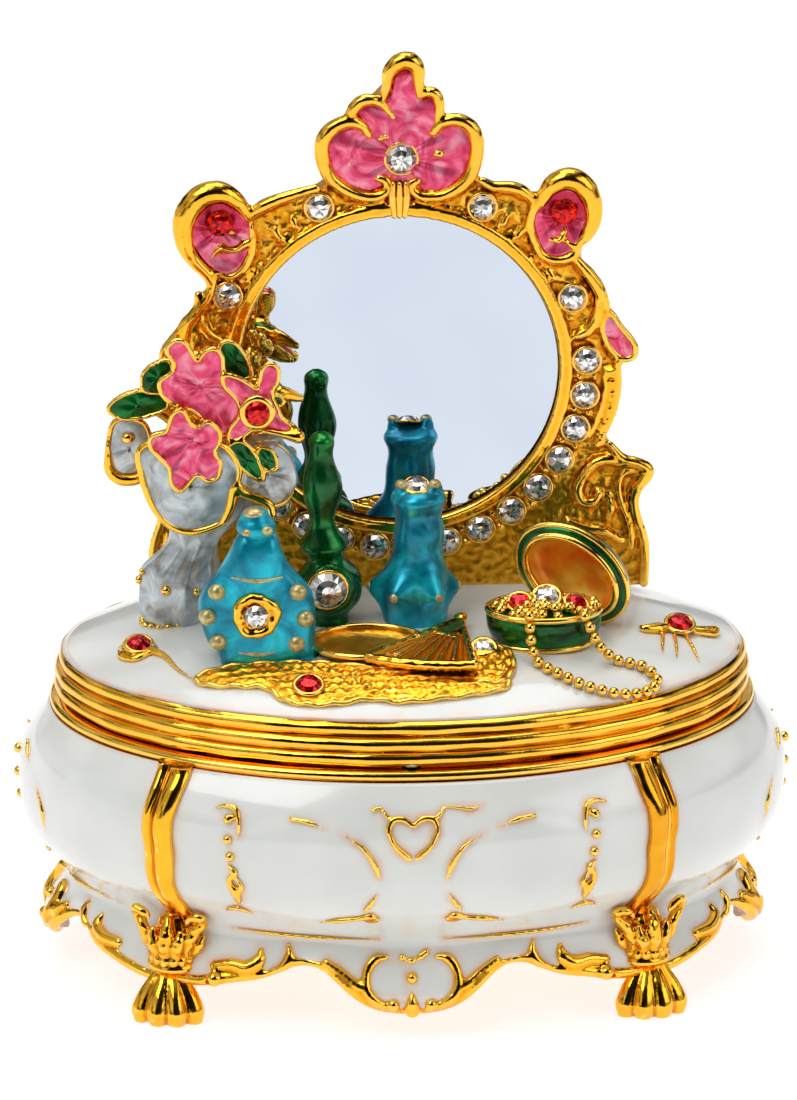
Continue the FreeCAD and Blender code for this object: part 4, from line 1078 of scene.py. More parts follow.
def side_bars(sign):
    """Lower side of the frame: inner scroll, rope edge, curl, horn and upright."""
    def at(points):
        return [(sign * x, z) for x, z in points]
    forms = [
        bar(at([(20.9, 70.0), (20.9, 68.4), (20.6, 66.9), (19.8, 65.6), (18.7, 65.0)]), (0.5, 0.6, 0.6, 0.45)),
        bar(at([(22.9, 62.0), (23.0, 59.6), (22.6, 56.8), (21.7, 54.4)]), (0.4, 0.45, 0.4, 0.35)),
        bar(at([(21.7, 61.2), (21.6, 58.4), (20.8, 55.6), (19.9, 53.8)]), (0.2, 0.26, 0.2)),
        bar(at([(23.3, 50.8), (22.0, 51.3), (20.6, 50.9), (19.4, 49.4), (18.9, 47.9), (19.5, 46.6), (20.6, 46.6),
                (21.2, 47.6)]), (0.4, 0.62, 0.6, 0.55, 0.5, 0.42)),
        bar(at([(22.2, 53.0), (23.6, 51.4), (25.2, 50.9), (26.3, 50.2), (26.0, 49.2), (25.2, 48.1), (24.9, 46.6),
                (25.2, 44.8), (25.9, 42.6), (26.1, 40.4), (26.0, 37.4)]),
            (0.4, 0.6, 0.62, 0.7, 0.6, 0.5, 0.5, 0.52, 0.55)),
        bar(at([(25.2, 50.0), (23.7, 49.7), (23.2, 48.1), (23.7, 46.0), (24.4, 44.0), (24.7, 41.5)]),
            (0.3, 0.35, 0.35, 0.3)),
        bar(at([(22.1, 47.6), (22.4, 45.8), (22.0, 44.6)]), (0.2, 0.5, 0.2)),
        bar(at([(18.0, 44.4), (19.8, 43.6), (21.8, 43.2), (23.6, 42.0)]), (0.3, 0.5, 0.45, 0.2)),
        bar(at(LEAF_TIP), 0.42, 0.1, 4, True)]
    for share in np.linspace(0.03, 0.97, 15):
        turn = math.radians(2 - 42 * share) * 0.55
        radius = 22.35 + 0.2 * math.sin(share * 3)
        forms.append(ball((sign * radius * math.cos(turn), FACE_Y, MIRROR_Z + radius * math.sin(turn) - 0.5),
                          (0.62, 0.42, 0.2), 10, 6))
    for x, z, lean in ((12.9, 76.9, -1.2), (11.2, 78.2, -0.9), (15.4, 72.4, 1.2), (17.6, 69.4, 1.1)):
        forms.append(bar(at([(x, z), (x + lean * 0.5, z - 0.9), (x + lean, z - 1.1)]), (0.2, 0.36, 0.12)))
    return forms


def frame_beads(angles, reach):
    """Small beads between the stones of the ring."""
    forms = []
    for first, second in zip(angles, angles[1:]):
        for radius in (reach - 0.75, reach + 0.85):
            turn = math.radians((first + second) / 2)
            forms.append(ball((radius * math.cos(turn), FACE_Y + 0.1, MIRROR_Z + radius * math.sin(turn)),
                              0.32, 8, 6))
    return forms


STONE_REACH = 19.7
STONE_ANGLES = [2.4 - 11.1 * k for k in range(17)]
UPPER_ANGLES = [23, 64, 115, 155]


def make_mirror():
    """Frame as one casting, all its stones and the gold cups that hold them."""
    behind = lathe([(0, 0), (MIRROR_R + 0.8, 0), (MIRROR_R + 0.8, 1), (0, 1)], 128)
    behind = moved(behind, lambda points: np.stack(
        [points[:, 0], glass_high[1] + 0.05 + (BACK_Y - glass_high[1] - 0.05) * points[:, 2],
         points[:, 1] + MIRROR_Z], -1))
    forms = [frame_plate(), behind] + crest_bars() + rosette_bars() + side_bars(1) + side_bars(-1)
    forms += frame_beads(STONE_ANGLES, STONE_REACH)
    grains = random.Random(5)
    for k in range(150):
        turn = math.radians(grains.uniform(8, 172))
        radius = grains.uniform(18.4, 20.9)
        forms.append(ball((radius * math.cos(turn), FACE_Y + 0.25, MIRROR_Z + radius * math.sin(turn)),
                          grains.uniform(0.2, 0.34), 8, 6))
    turn = np.arange(200) / 200 * TAU
    for radius, thick, y in ((MIRROR_R + 0.35, 0.34, -0.15), (MIRROR_R + 1.05, 0.42, -0.05)):
        ring = np.stack([radius * np.cos(turn), FACE_Y + y + 0 * turn, MIRROR_Z + radius * np.sin(turn)], -1)
        forms.append(tube(ring, thick, 10, 1.0, True))
    casting = melted(merged(forms), 0.25, 2)
    casting = roughened(casting, 0.18, 0.6, lambda at, normal: np.where(
        (at[:, 1] > FACE_Y + 0.05) & (normal[:, 1] < -0.5) & (np.hypot(at[:, 0], at[:, 2] - MIRROR_Z)
                                                             > MIRROR_R + 1.3), 1.0, 0.12))
    depth = casting[0][:, 1]
    paint = [0 if depth[list(face)].mean() < FACE_Y + 0.05 else 1 for face in casting[1]]
    piece("mirror_frame_casting", casting, (GOLD, DEEP_GOLD), "lid", ("mirror_frame",), paint=paint)
    forms = []
    for angle in STONE_ANGLES + UPPER_ANGLES:
        turn = math.radians(angle)
        forms.append(((STONE_REACH * math.cos(turn), FACE_Y - 0.02, MIRROR_Z + STONE_REACH * math.sin(turn)), 1.4))
    stones("frame_stones", [gem(*entry) for entry in forms], CRYSTAL, ("frame_crystals",))
    crest = ((0.2, FACE_Y - 0.02, 84.5), 1.6)
    stones("crest_stone", [gem(*crest)], CRYSTAL, ("crest_crystal",))
    rubies = [((-18.6, FACE_Y - 0.1, 77.8), 1.4), ((17.1, FACE_Y - 0.1, 78.6), 1.4)]
    stones("rosette_stones", [gem(*entry) for entry in rubies], RUBY, ("rosette_rubies",))
    cups = [cup(*entry) for entry in forms + [crest]]
    cups += [bar([(x * 0.9, 81.9), (x, 80.4), (x * 0.75, 78.5)], (0.26, 0.4, 0.3), -0.55)
             for x in (-0.74, 0.0, 0.74)]
    piece("frame_cups", merged(cups), GOLD, "lid", ())


def patch(outline, centre, y, bulge, relief, thick, petals=7, per=5):
    """Enamel fill of a closed (x, height) outline, bulged towards the front, with radial folds."""
    edge = curve(outline, per, True)
    middle = np.array(centre, float)
    rings = []
    turn = np.arctan2(edge[:, 1] - middle[1], edge[:, 0] - middle[0])
    folds = np.sin(turn * petals) + 0.5 * np.sin(turn * (petals * 2 + 1) + 1.3)
    for share in np.linspace(0.04, 1, 12):
        flat = middle + (edge - middle) * share
        depth = y - bulge * (1 - share ** 2) - relief * folds * share * (1 - share) * 4
        rings.append(np.stack([flat[:, 0], depth, flat[:, 1]], -1))
    rings.append(np.stack([edge[:, 0], y + thick + 0 * turn, edge[:, 1]], -1))
    columns = len(edge)
    faces = grid_faces(len(rings), columns, False, True)
    faces.append(tuple(range(columns)))
    faces.append(tuple((len(rings) - 1) * columns + k for k in range(columns)))
    return np.concatenate(rings), faces


make_mirror()
pink_fills = [
    patch(CREST_PINK, (0.2, 84.6), FACE_Y - 0.02, 0.12, 0.12, 0.6, 7),
    patch(LEAF_TIP, (22.9, 64.7), FACE_Y - 0.05, 0.15, 0.05, 0.4, 3),
    patch(flipped(LEAF_TIP), (-22.9, 64.7), FACE_Y - 0.05, 0.15, 0.05, 0.4, 3),
    patch([(-15.7, 78.0), (-16.9, 79.6), (-18.5, 80.3), (-20.4, 79.9), (-21.5, 78.4), (-21.7, 76.5),
           (-21.0, 74.6), (-19.7, 73.1), (-18.0, 72.2), (-16.5, 73.0), (-15.7, 74.6), (-15.5, 76.2)],
          (-18.6, 77.0), FACE_Y - 0.25, -0.45, 0.14, 0.6, 5),
    patch([(14.4, 79.0), (15.8, 80.6), (17.3, 81.3), (18.7, 80.7), (19.4, 79.2), (19.5, 77.6), (18.8, 76.0),
           (18.0, 74.4), (16.3, 73.7), (14.9, 74.5), (14.3, 76.2), (14.0, 77.8)],
          (17.0, 77.8), FACE_Y - 0.25, -0.45, 0.14, 0.6, 5)]
wavy = roughened(modified(merged(pink_fills), ("SUBSURF", {"levels": 1})), 0.24, 2.2)
rosettes = np.array(((-18.6, 77.8), (17.1, 78.6)))
middles = np.array([wavy[0][list(face)].mean(0) for face in wavy[1]])[:, (0, 2)]
away = np.linalg.norm(middles[:, None] - rosettes, axis=2).min(1)
piece("frame_enamel", wavy, (PINK, ROSE), "lid", (), paint=[int(reach < 2.3) for reach in away])

silver = Surface("mirror_silver", Metallic=1.0, Roughness=0.015)
silver.colour(silver.ramp(silver.noise(14.0, 1.0), ((0.3, (0.59, 0.65, 0.75)), (0.7, (0.64, 0.70, 0.79)))))
glass_form = lathe([(0, 0), (MIRROR_R - 0.1, 0), (MIRROR_R, 0.1), (MIRROR_R, 1.1), (MIRROR_R - 0.1, 1.2), (0, 1.2)], 128)
glass_form = moved(glass_form, lambda points: np.stack(
    [points[:, 0], points[:, 2] + glass_low[1], points[:, 1] + MIRROR_Z], -1))
glass = piece("mirror_plate", glass_form, silver.material, "lid", ("mirror_glass",), smooth=False)


# ------------------------------------------------------------------ vase and bouquet

def bent_loft(levels, lobes=0, lobe_depth=0.0, steps=48, segments=72, lobe_at=None, lobe_spread=3.0):
    """Skin over elliptic levels (height, x, y, half width, half depth), with optional upright lobes."""
    levels = np.array(levels, float)
    tracks = [spline(levels[:, 0], levels[:, k]) for k in range(1, 5)]
    turn = np.arange(segments) / segments * TAU
    rings = []
    for z in np.linspace(levels[0, 0], levels[-1, 0], steps):
        x, y, wide, deep = (float(track(z)) for track in tracks)
        share = 1.0 if lobe_at is None else math.exp(-((z - lobe_at) / lobe_spread) ** 2)
        swell = 1 + lobe_depth * share * np.cos(lobes * turn)
        rings.append(np.stack([x + wide * swell * np.cos(turn), y + deep * swell * np.sin(turn),
                               z + 0 * turn], -1))
    faces = [tuple(reversed(face)) for face in grid_faces(steps, segments, False, True)]
    faces.append(tuple(range(segments)))
    faces.append(tuple((steps - 1) * segments + k for k in reversed(range(segments))))
    return np.concatenate(rings), faces


def rim_of(outline, y, radius, per=5):
    """Gold edge along a closed (x, height) outline."""
    edge = curve(outline, per, True)
    return tube(np.stack([edge[:, 0], y + 0 * edge[:, 0], edge[:, 1]], -1), radius, 8, 1.0, True)


def leaned(form, slope, about):
    """Lean a form that faces the front: its depth grows with the distance from a place."""
    def place(points):
        points = points.copy()
        points[:, 1] += slope[0] * (points[:, 0] - about[0]) + slope[1] * (points[:, 2] - about[1])
        return points
    return moved(form, place)


def enamelled(outline, centre, y, bulge, relief, petals, rim, slope=(0, 0)):
    """Give the enamel fill, the gold edge and the gold back of a flat cast part."""
    fill = patch(outline, centre, y, bulge, relief, 0.5, petals)
    edge = rim_of(outline, y + 0.1, rim)
    back = patch(outline, centre, y + 0.9, -0.1, 0.12, 0.5, petals)
    return [leaned(form, slope, centre) for form in (fill, edge, back)]


UPPER_FLOWER = ((-24.3, 68.0), (-23.4, 69.0), (-22.3, 68.7), (-21.6, 67.4), (-21.1, 66.7), (-20.4, 67.7),
                (-19.3, 68.0), (-18.6, 67.1), (-18.5, 65.5), (-18.1, 63.8), (-17.3, 62.6), (-16.9, 61.2),
                (-17.5, 59.4), (-18.7, 58.4), (-20.0, 59.3), (-21.2, 60.9), (-22.5, 61.7), (-23.9, 62.2),
                (-24.9, 63.3), (-25.0, 64.6), (-23.8, 65.5), (-23.6, 66.6))
LOWER_FLOWER = ((-23.8, 61.5), (-22.7, 62.0), (-21.9, 60.5), (-21.0, 60.0), (-20.2, 60.7), (-19.1, 59.8),
                (-18.9, 58.5), (-19.5, 57.3), (-18.9, 56.0), (-19.2, 54.4), (-20.3, 54.1), (-21.3, 54.8),
                (-22.2, 53.8), (-23.1, 52.9), (-24.0, 53.9), (-24.2, 55.6), (-25.2, 56.8), (-26.1, 58.0),
                (-25.9, 59.2), (-24.4, 59.7))
STAR_FLOWER = ((-14.9, 63.6), (-14.6, 65.6), (-13.8, 66.4), (-12.9, 65.9), (-12.9, 64.6), (-13.6, 63.2),
               (-13.0, 61.6), (-12.4, 60.4), (-11.0, 59.3), (-10.9, 58.4), (-12.4, 58.5), (-14.2, 59.2),
               (-15.6, 59.3), (-16.8, 58.4), (-18.0, 58.2), (-17.9, 59.4), (-16.8, 61.0), (-17.2, 62.6),
               (-18.4, 64.0), (-18.6, 65.2), (-17.2, 65.0), (-15.8, 64.2))
LEAVES = (
    (((-30.4, 60.5), (-29.4, 61.8), (-27.1, 62.6), (-25.0, 62.3), (-24.2, 60.9), (-26.1, 59.9), (-28.7, 59.6)),
     (-27.3, 61.1), -1.4),
    (((-26.6, 62.6), (-26.8, 64.4), (-25.6, 65.5), (-24.1, 65.9), (-23.8, 64.6), (-24.6, 62.6)), (-25.2, 64.2), -1.6),
    (((-18.8, 67.6), (-17.3, 67.7), (-16.0, 65.8), (-15.7, 64.0), (-17.3, 64.2), (-18.6, 65.2)), (-17.2, 65.9), -1.8),
    (((-14.8, 63.1), (-13.2, 62.7), (-12.3, 61.7), (-13.6, 61.2), (-14.8, 61.8)), (-13.6, 62.1), -3.0),
    (((-18.2, 57.4), (-16.6, 58.0), (-15.2, 56.4), (-14.5, 53.9), (-15.9, 54.4), (-17.2, 55.8)), (-16.2, 56.1), -4.7),
    (((-15.0, 57.3), (-13.5, 56.8), (-13.1, 55.1), (-14.2, 54.9), (-15.0, 55.9)), (-14.1, 56.0), -4.5))


def make_bouquet():
    """Pink flowers and green leaves with gold edges on one gold casting."""
    gold_forms = []
    upper = enamelled(UPPER_FLOWER, (-20.9, 63.8), -4.3, -0.3, 0.06, 5, 0.3, (0.02, -0.05))
    lower = enamelled(LOWER_FLOWER, (-21.9, 58.6), -5.8, -0.3, 0.06, 5, 0.3, (0.02, -0.09))
    star = enamelled(STAR_FLOWER, (-15.2, 61.4), -4.6, 0.2, 0.1, 4, 0.28)
    for fill, edge, back in (upper, lower, star):
        gold_forms += [edge, back]
    for name, form, node in (("upper_flower", upper[0], "flower_upper"), ("lower_flower", lower[0], "flower_lower")):
        wavy = roughened(modified(form, ("SUBSURF", {"levels": 1})), 0.42, 2.0)
        piece(name, wavy, PINK, "lid", (node,))
    piece("star_flower_enamel", star[0], PINK, "lid", ("star_flower",))
    greens = []
    for outline, centre, y in LEAVES:
        fill, edge, back = enamelled(outline, centre, y, 0.25, 0.1, 2, 0.28)
        greens.append(fill)
        gold_forms += [edge, back]
    piece("leaves", merged(greens), GREEN, "lid", ("bouquet_foliage",))
    gold_forms.append(bar([(-14.4, 59.3), (-12.6, 58.9), (-10.9, 58.6)], (0.3, 0.4, 0.75), -4.9 - FACE_Y))
    for start, bend, end in (((-21.0, -3.0, 62.0), (-19.6, 1.0, 58.0), (-18.6, 0.5, 52.0)),
                             ((-22.4, -4.4, 57.6), (-21.4, -1.0, 55.5), (-19.4, 0.4, 51.0)),
                             ((-15.2, -3.6, 61.0), (-16.2, -0.4, 57.6), (-17.8, 0.6, 52.0)),
                             ((-26.8, -0.8, 61.0), (-23.6, 0.6, 58.4), (-20.4, 0.8, 53.0)),
                             ((-17.2, -1.0, 65.6), (-17.6, 1.4, 61.6), (-18.4, 1.0, 54.0)),
                             ((-25.2, -0.9, 64.0), (-22.8, 1.2, 60.4), (-19.6, 1.2, 54.0))):
        gold_forms.append(tube(curve([start, bend, end], 8), (0.5, 0.7, 0.9), 8))
    blooms = random.Random(3)
    for k in range(46):
        turn = blooms.uniform(0, TAU)
        reach = blooms.uniform(0.1, 1) ** 0.5
        gold_forms.append(ball((-19.8 + 6.4 * reach * math.cos(turn), 1.0 + blooms.uniform(-0.9, 1.1),
                                60.6 + 5.6 * reach * math.sin(turn)),
                               (blooms.uniform(0.6, 1.2), 0.8, blooms.uniform(0.6, 1.2)), 8, 6))
    for k in range(18):
        gold_forms.append(ball((blooms.uniform(-19, -14.6), -2.6 + blooms.uniform(-0.7, 0.4),
                                blooms.uniform(53.6, 57.2)), blooms.uniform(0.4, 0.7), 8, 6))
    gold_forms.append(tube(curve([(-14.6, -2.0, 61.4), (-12.6, -1.2, 62.0), (-10.6, -0.4, 61.3)], 6),
                           (0.5, 1.0, 0.5), 8, 0.6))
    piece("bouquet_gold", melted(merged(gold_forms), 0.22, 2), GOLD, "lid", ())
    stone = ((-15.1, -5.15, 61.4), 1.42)
    stones("bouquet_stone", [gem(*stone)], RUBY, ("bouquet_ruby",))
    piece("bouquet_cup", cup(*stone, thickness=0.3), GOLD, "lid", ())


FRONT_PETAL = ((-27.3, 57.0), (-27.0, 54.4), (-26.5, 52.4), (-25.7, 50.6), (-24.5, 49.1), (-23.2, 48.3),
               (-21.8, 48.1), (-20.1, 48.5), (-18.6, 49.3), (-17.8, 50.8), (-17.5, 52.6), (-17.0, 55.2),
               (-18.6, 57.6), (-22.0, 58.6), (-25.4, 58.4))
RIGHT_PETAL = ((-17.4, 52.9), (-16.4, 52.2), (-15.2, 51.6), (-14.2, 50.9), (-13.6, 49.9), (-12.3, 50.6),
               (-11.3, 51.9), (-11.0, 53.6), (-11.7, 55.8), (-13.6, 57.2), (-15.8, 57.0), (-17.2, 55.4))
LEFT_PLATE = ((-29.8, 59.0), (-30.4, 57.0), (-30.6, 54.4), (-30.2, 53.2), (-29.0, 52.7), (-27.6, 52.8),
              (-26.3, 53.4), (-26.0, 56.0), (-26.6, 58.6), (-28.2, 59.3))


def make_vase():
    """Pearly vase: a fluted bell foot, and a cup of gold-edged petals."""
    foot = float(dome_height(-24.2, 0.3)) - 0.1
    body = bent_loft(((foot, -23.6, 0.3, 3.4, 3.0), (foot + 0.9, -23.6, 0.3, 3.85, 3.4),
                      (foot + 3.7, -23.5, 0.3, 4.05, 3.5), (foot + 5.6, -23.2, 0.2, 3.95, 3.4),
                      (foot + 7.1, -22.6, 0.0, 3.2, 2.9), (foot + 9.4, -21.5, -0.2, 2.75, 2.5),
                      (foot + 11.6, -20.9, -0.4, 3.8, 3.2), (foot + 14.0, -20.2, -0.5, 5.4, 3.8),
                      (foot + 17.2, -19.6, -0.3, 6.9, 4.0), (foot + 20.2, -19.6, 0.0, 6.8, 3.8)), 9, 0.055)
    front = enamelled(FRONT_PETAL, (-22.0, 53.4), -4.5, 0.55, 0.06, 3, 0.42, (0.0, -0.05))
    right = enamelled(RIGHT_PETAL, (-14.2, 54.0), -3.0, 0.4, 0.12, 3, 0.2, (0.12, -0.03))
    left = enamelled(LEFT_PLATE, (-28.3, 56.0), -0.6, 0.15, 0.06, 2, 0.34)
    grey = [roughened(melted(body, 0.25, 1), 0.24, 2.6)]
    grey += [roughened(fill, 0.3, 2.6) for fill in (front[0], right[0], left[0])]
    piece("vase_enamel", merged(grey), GREY, "lid", ("vase",))
    gold_forms = [front[1], front[2], right[2], left[1], left[2]]
    gold_forms.append(bar([(-30.5, 56.6), (-30.4, 54.0), (-29.4, 52.9), (-27.8, 52.8), (-26.4, 53.4)],
                          (0.3, 0.6, 0.72, 0.7, 0.5), -0.8 - FACE_Y))
    gold_forms.append(bar([(-13.9, 50.2), (-12.4, 50.7), (-11.3, 52.0)], (0.3, 0.25, 0.1), -3.0 - FACE_Y))
    gold_forms.append(bar([(-18.6, 49.4), (-17.9, 51.0), (-17.4, 53.2), (-16.6, 52.4), (-15.4, 51.9),
                           (-14.0, 51.2), (-13.6, 50.0)], (0.4, 0.6, 0.62, 0.5, 0.55, 0.5), -4.4 - FACE_Y))
    gold_forms.append(ball((-28.4, -1.1, 57.4), (0.8, 0.5, 0.6)))
    for x, y, z, radius in ((-24.7, -2.9, foot + 4.3, 0.62), (-27.5, -0.9, foot + 4.8, 0.5),
                            (-27.2, -1.2, foot + 5.8, 0.4), (-21.6, -2.5, foot + 4.0, 0.5)):
        gold_forms.append(ball((x, y, z), radius, 12, 8))
    for turn in np.radians(np.arange(150, 345, 19)):
        x, y = -24.2 + 3.1 * math.cos(turn), 0.3 + 2.9 * math.sin(turn)
        gold_forms.append(ball(on_dome(x, y, 0.15), (0.42, 0.42, 0.34), 10, 8))
    piece("vase_gold", melted(merged(gold_forms), 0.2, 2), GOLD, "lid", ())


make_vase()
make_bouquet()


# ------------------------------------------------------------------ bottles

BEIGE = pearl_surface("beige_tips", (0.36, 0.30, 0.10), (0.56, 0.44, 0.17), (0.72, 0.64, 0.34), 1.2)
# dish_gold's very dark recess colour paints shade into the dish's hollow, fan_leaf_gold's into the pleat valleys.
DISH_GOLD = gold_surface("dish_gold", (0.10, 0.06, 0.006), (0.24, 0.38), 0.7)
FAN_GOLD = gold_surface("fan_leaf_gold", (0.55, 0.27, 0.02), (0.32, 0.48), 0.7)


def make_green_bottle():
    """Turned green bottle with a large stone set in its foot."""
    x, y = -7.9, -1.9
    foot = float(dome_height(x, y)) - 0.3
    high = box_mm("green_bottle")[1]
    levels = [(foot, x, y, 2.3, 2.3), (foot + 1.0, x, y, 2.1, 2.1), (foot + 2.4, x, y, 3.1, 3.0),
              (foot + 4.4, x, y, 3.5, 3.3), (foot + 6.2, x, y, 2.8, 2.7), (foot + 7.5, x - 0.2, y, 1.75, 1.7),
              (foot + 8.5, x - 0.4, y, 2.45, 2.3), (foot + 9.3, x - 0.4, y, 2.3, 2.1),
              (foot + 10.9, x - 0.5, y, 1.4, 1.35), (foot + 13.2, x - 0.5, y, 1.75, 1.6),
              (foot + 15.2, x - 0.5, y, 2.05, 1.85), (foot + 17.2, x - 0.6, y, 1.6, 1.5),
              (foot + 19.3, x - 0.6, y, 1.25, 1.2), (high[2] - 0.4, x - 0.6, y, 0.95, 0.95),
              (high[2] - 0.05, x - 0.6, y, 0.4, 0.4)]
    body = roughened(melted(bent_loft(levels, 3, 0.02, 90), 0.22, 1), 0.14, 3.0)
    stone = ((x, -5.2, 41.9), 1.95)
    turn = np.radians(np.linspace(-170, 70, 30))
    holder = tube(np.stack([x + 2.35 * np.cos(turn), -4.9 + 0 * turn, 41.9 + 2.35 * np.sin(turn)], -1),
                  (0.2, 0.55, 0.7, 0.6, 0.25), 10)
    neck = tube(np.stack([x + 1.7 * np.cos(turn * 1.5), -4.2 + 0.3 * np.sin(turn), 41.9 + 1.9 * np.sin(turn * 1.5)],
                         -1), 0.6, 8)
    piece("green_bottle_enamel", merged([body, holder, neck]), GREEN, "lid", ("green_bottle",))
    stones("green_bottle_stone", [gem(*stone, sides=16)], CRYSTAL, ("green_bottle_crystal",))
    piece("green_bottle_cup", cup(*stone, thickness=0.16), GOLD, "lid", ())


def make_tall_bottle():
    """Teal bottle with a pointed, lobed belly and two knobs beside the stone on top."""
    x, y = 1.2, -1.6
    foot = float(dome_height(x, y)) - 0.3
    top = box_mm("tall_bottle_crystal")[0][2]
    levels = [(foot, x, y, 3.3, 3.0), (foot + 1.2, x, y, 3.4, 3.1), (foot + 2.6, x, y, 3.9, 3.5),
              (foot + 3.9, x, y, 4.25, 3.9), (foot + 5.6, x + 0.1, y, 3.5, 3.3), (foot + 7.6, x + 0.3, y, 2.7, 2.6),
              (foot + 10.2, x + 0.4, y, 2.65, 2.5), (foot + 12.6, x + 0.4, y, 2.55, 2.4),
              (top - 0.6, x + 0.4, y, 2.2, 2.0), (top - 0.2, x + 0.4, y, 1.2, 1.1)]
    body = bent_loft(levels, 6, 0.15, 70, 96, foot + 3.9, 1.5)
    knobs = [ball((x - 1.4, y - 0.3, top - 0.5), (0.8, 0.9, 1.2)), ball((x + 2.1, y - 0.3, top - 0.5), (0.8, 0.9, 1.2))]
    body = roughened(melted(merged([body] + knobs), 0.25, 3, 0.6), 0.3, 3.2)
    tips = [ball((x - 1.4, y - 0.5, top + 0.3), (0.66, 0.7, 0.5)), ball((x + 2.1, y - 0.5, top + 0.3), (0.66, 0.7, 0.5))]
    for turn in np.radians([-60, -120, 0, 180]):
        tips.append(ball((x + 4.55 * math.cos(turn), y + 4.2 * math.sin(turn), foot + 3.9), 0.5, 10, 8))
    piece("tall_bottle_enamel", merged([body] + tips), (TEAL, BEIGE), "lid", ("tall_bottle",),
          paint=[0] * len(body[1]) + [1] * sum(len(tip[1]) for tip in tips))
    stone = ((x + 0.2, y - 0.2, top + 0.05), 1.26, (0, -0.35, 0.94))
    stones("tall_bottle_stone", [gem(*stone)], CRYSTAL, ("tall_bottle_crystal",))
    piece("tall_bottle_cup", cup(*stone, thickness=0.18), GOLD, "lid", ())


FLASK = ((-15.3, 51.0), (-16.6, 50.9), (-17.6, 50.0), (-18.3, 48.4), (-19.2, 46.8), (-20.6, 45.2), (-21.5, 43.2),
         (-21.4, 41.1), (-20.7, 39.1), (-19.5, 37.7), (-19.2, 36.6), (-18.9, 35.9), (-14.6, 35.7), (-11.0, 35.9),
         (-9.0, 36.0), (-9.0, 37.0), (-9.5, 38.6), (-9.3, 41.4), (-9.6, 43.8), (-10.7, 45.7), (-12.3, 47.4),
         (-13.1, 49.2), (-13.5, 50.4), (-14.3, 50.9))


def pillow(outline, centre, y, half, per=5):
    """Solid over a closed (x, height) outline, flat-faced with full rounded edges."""
    edge = curve(outline, per, True)
    middle = np.array(centre, float)
    shares = np.concatenate([np.linspace(0.05, 0.8, 8), np.linspace(0.85, 1, 8)])
    rings = []
    for side in (-1, 1):
        for share in (shares if side < 0 else shares[::-1][1:]):
            flat = middle + (edge - middle) * share
            depth = y + side * half * (1 - share ** 7) ** 0.5
            rings.append(np.stack([flat[:, 0], depth + 0 * flat[:, 0], flat[:, 1]], -1))
    columns = len(edge)
    faces = grid_faces(len(rings), columns, False, True)
    faces.append(tuple(range(columns)))
    faces.append(tuple((len(rings) - 1) * columns + k for k in range(columns)))
    return np.concatenate(rings), faces


def make_flat_bottle():
    """Flat teal flask with beige dots, a stopper and a stone in a gold setting."""
    low, high = box_mm("flat_bottle")
    y = (low[1] + high[1]) / 2
    half = (high[1] - low[1]) / 2 - 0.15
    body = melted(pillow(FLASK, (-15.3, 42.6), y, half), 0.25, 4, 0.6)
    body = roughened(body, 0.25, 3.4)
    front = y - half
    dots = []
    for x, z in ((-19.5, 44.8), (-20.5, 42.1), (-19.4, 39.4), (-11.2, 44.7), (-10.5, 41.8), (-11.4, 39.1)):
        dots.append(ball((x, front + 0.25, z), (0.92, 0.8, 0.88), 16, 10))
    for line in ([(-17.9, 46.4), (-15.3, 46.0), (-12.8, 46.4)], [(-17.2, 38.2), (-15.3, 38.0), (-13.6, 38.2)]):
        dots.append(bar(line, (0.1, 0.26, 0.1), front + 0.1 - FACE_Y))
    piece("flask_enamel", merged([body] + dots), (TEAL, BEIGE), "lid", ("flat_bottle",),
          paint=[0] * len(body[1]) + [1] * sum(len(dot[1]) for dot in dots))
    stopper = melted(merged([ball((-15.4, y, 51.2), (2.1, 1.9, 1.5)), ball((-15.5, y, 52.3), (1.5, 1.4, 1.1))]), 0.22, 4)
    # The beige caps are the stopper's beige ends and also painted highlight, set where the stopper catches the light at
    # its top and neck.
    caps = [ball((-15.6, y - 0.3, 52.75), (1.15, 1.0, 0.62)), ball((-14.3, y - 1.65, 51.3), (0.62, 0.4, 0.5)),
            ball((-16.4, y - 1.6, 51.1), (0.5, 0.4, 0.4))]
    piece("flask_stopper", merged([stopper] + caps), (TEAL, BEIGE), "lid", ("flat_bottle_stopper",),
          paint=[0] * len(stopper[1]) + [1] * sum(len(cap[1]) for cap in caps))
    centre = (-15.5, front - 0.35, 42.3)
    turn = np.arange(40) / 40 * TAU
    wobble = 1.92 + 0.12 * np.sin(turn * 3 + 1) + 0.08 * np.sin(turn * 5)
    ring = tube(np.stack([centre[0] + wobble * np.cos(turn), front - 0.1 + 0 * turn,
                          centre[2] + wobble * np.sin(turn)], -1), 0.58, 10, 1.0, True)
    plate = moved(lathe([(0, -0.3), (1.8, -0.3), (1.8, 0.1), (0, 0.1)], 40), lambda points: np.stack(
        [points[:, 0] + centre[0], points[:, 2] + front - 0.1, points[:, 1] + centre[2]], -1))
    piece("flask_setting", roughened(melted(merged([ring, plate]), 0.15, 2), 0.15, 0.9), GOLD, "lid",
          ("flat_bottle_setting",))
    stones("flask_stone", [gem(centre, 1.3)], CRYSTAL, ("flat_bottle_crystal",))


make_green_bottle()
make_tall_bottle()
make_flat_bottle()


# ------------------------------------------------------------------ casket and necklace

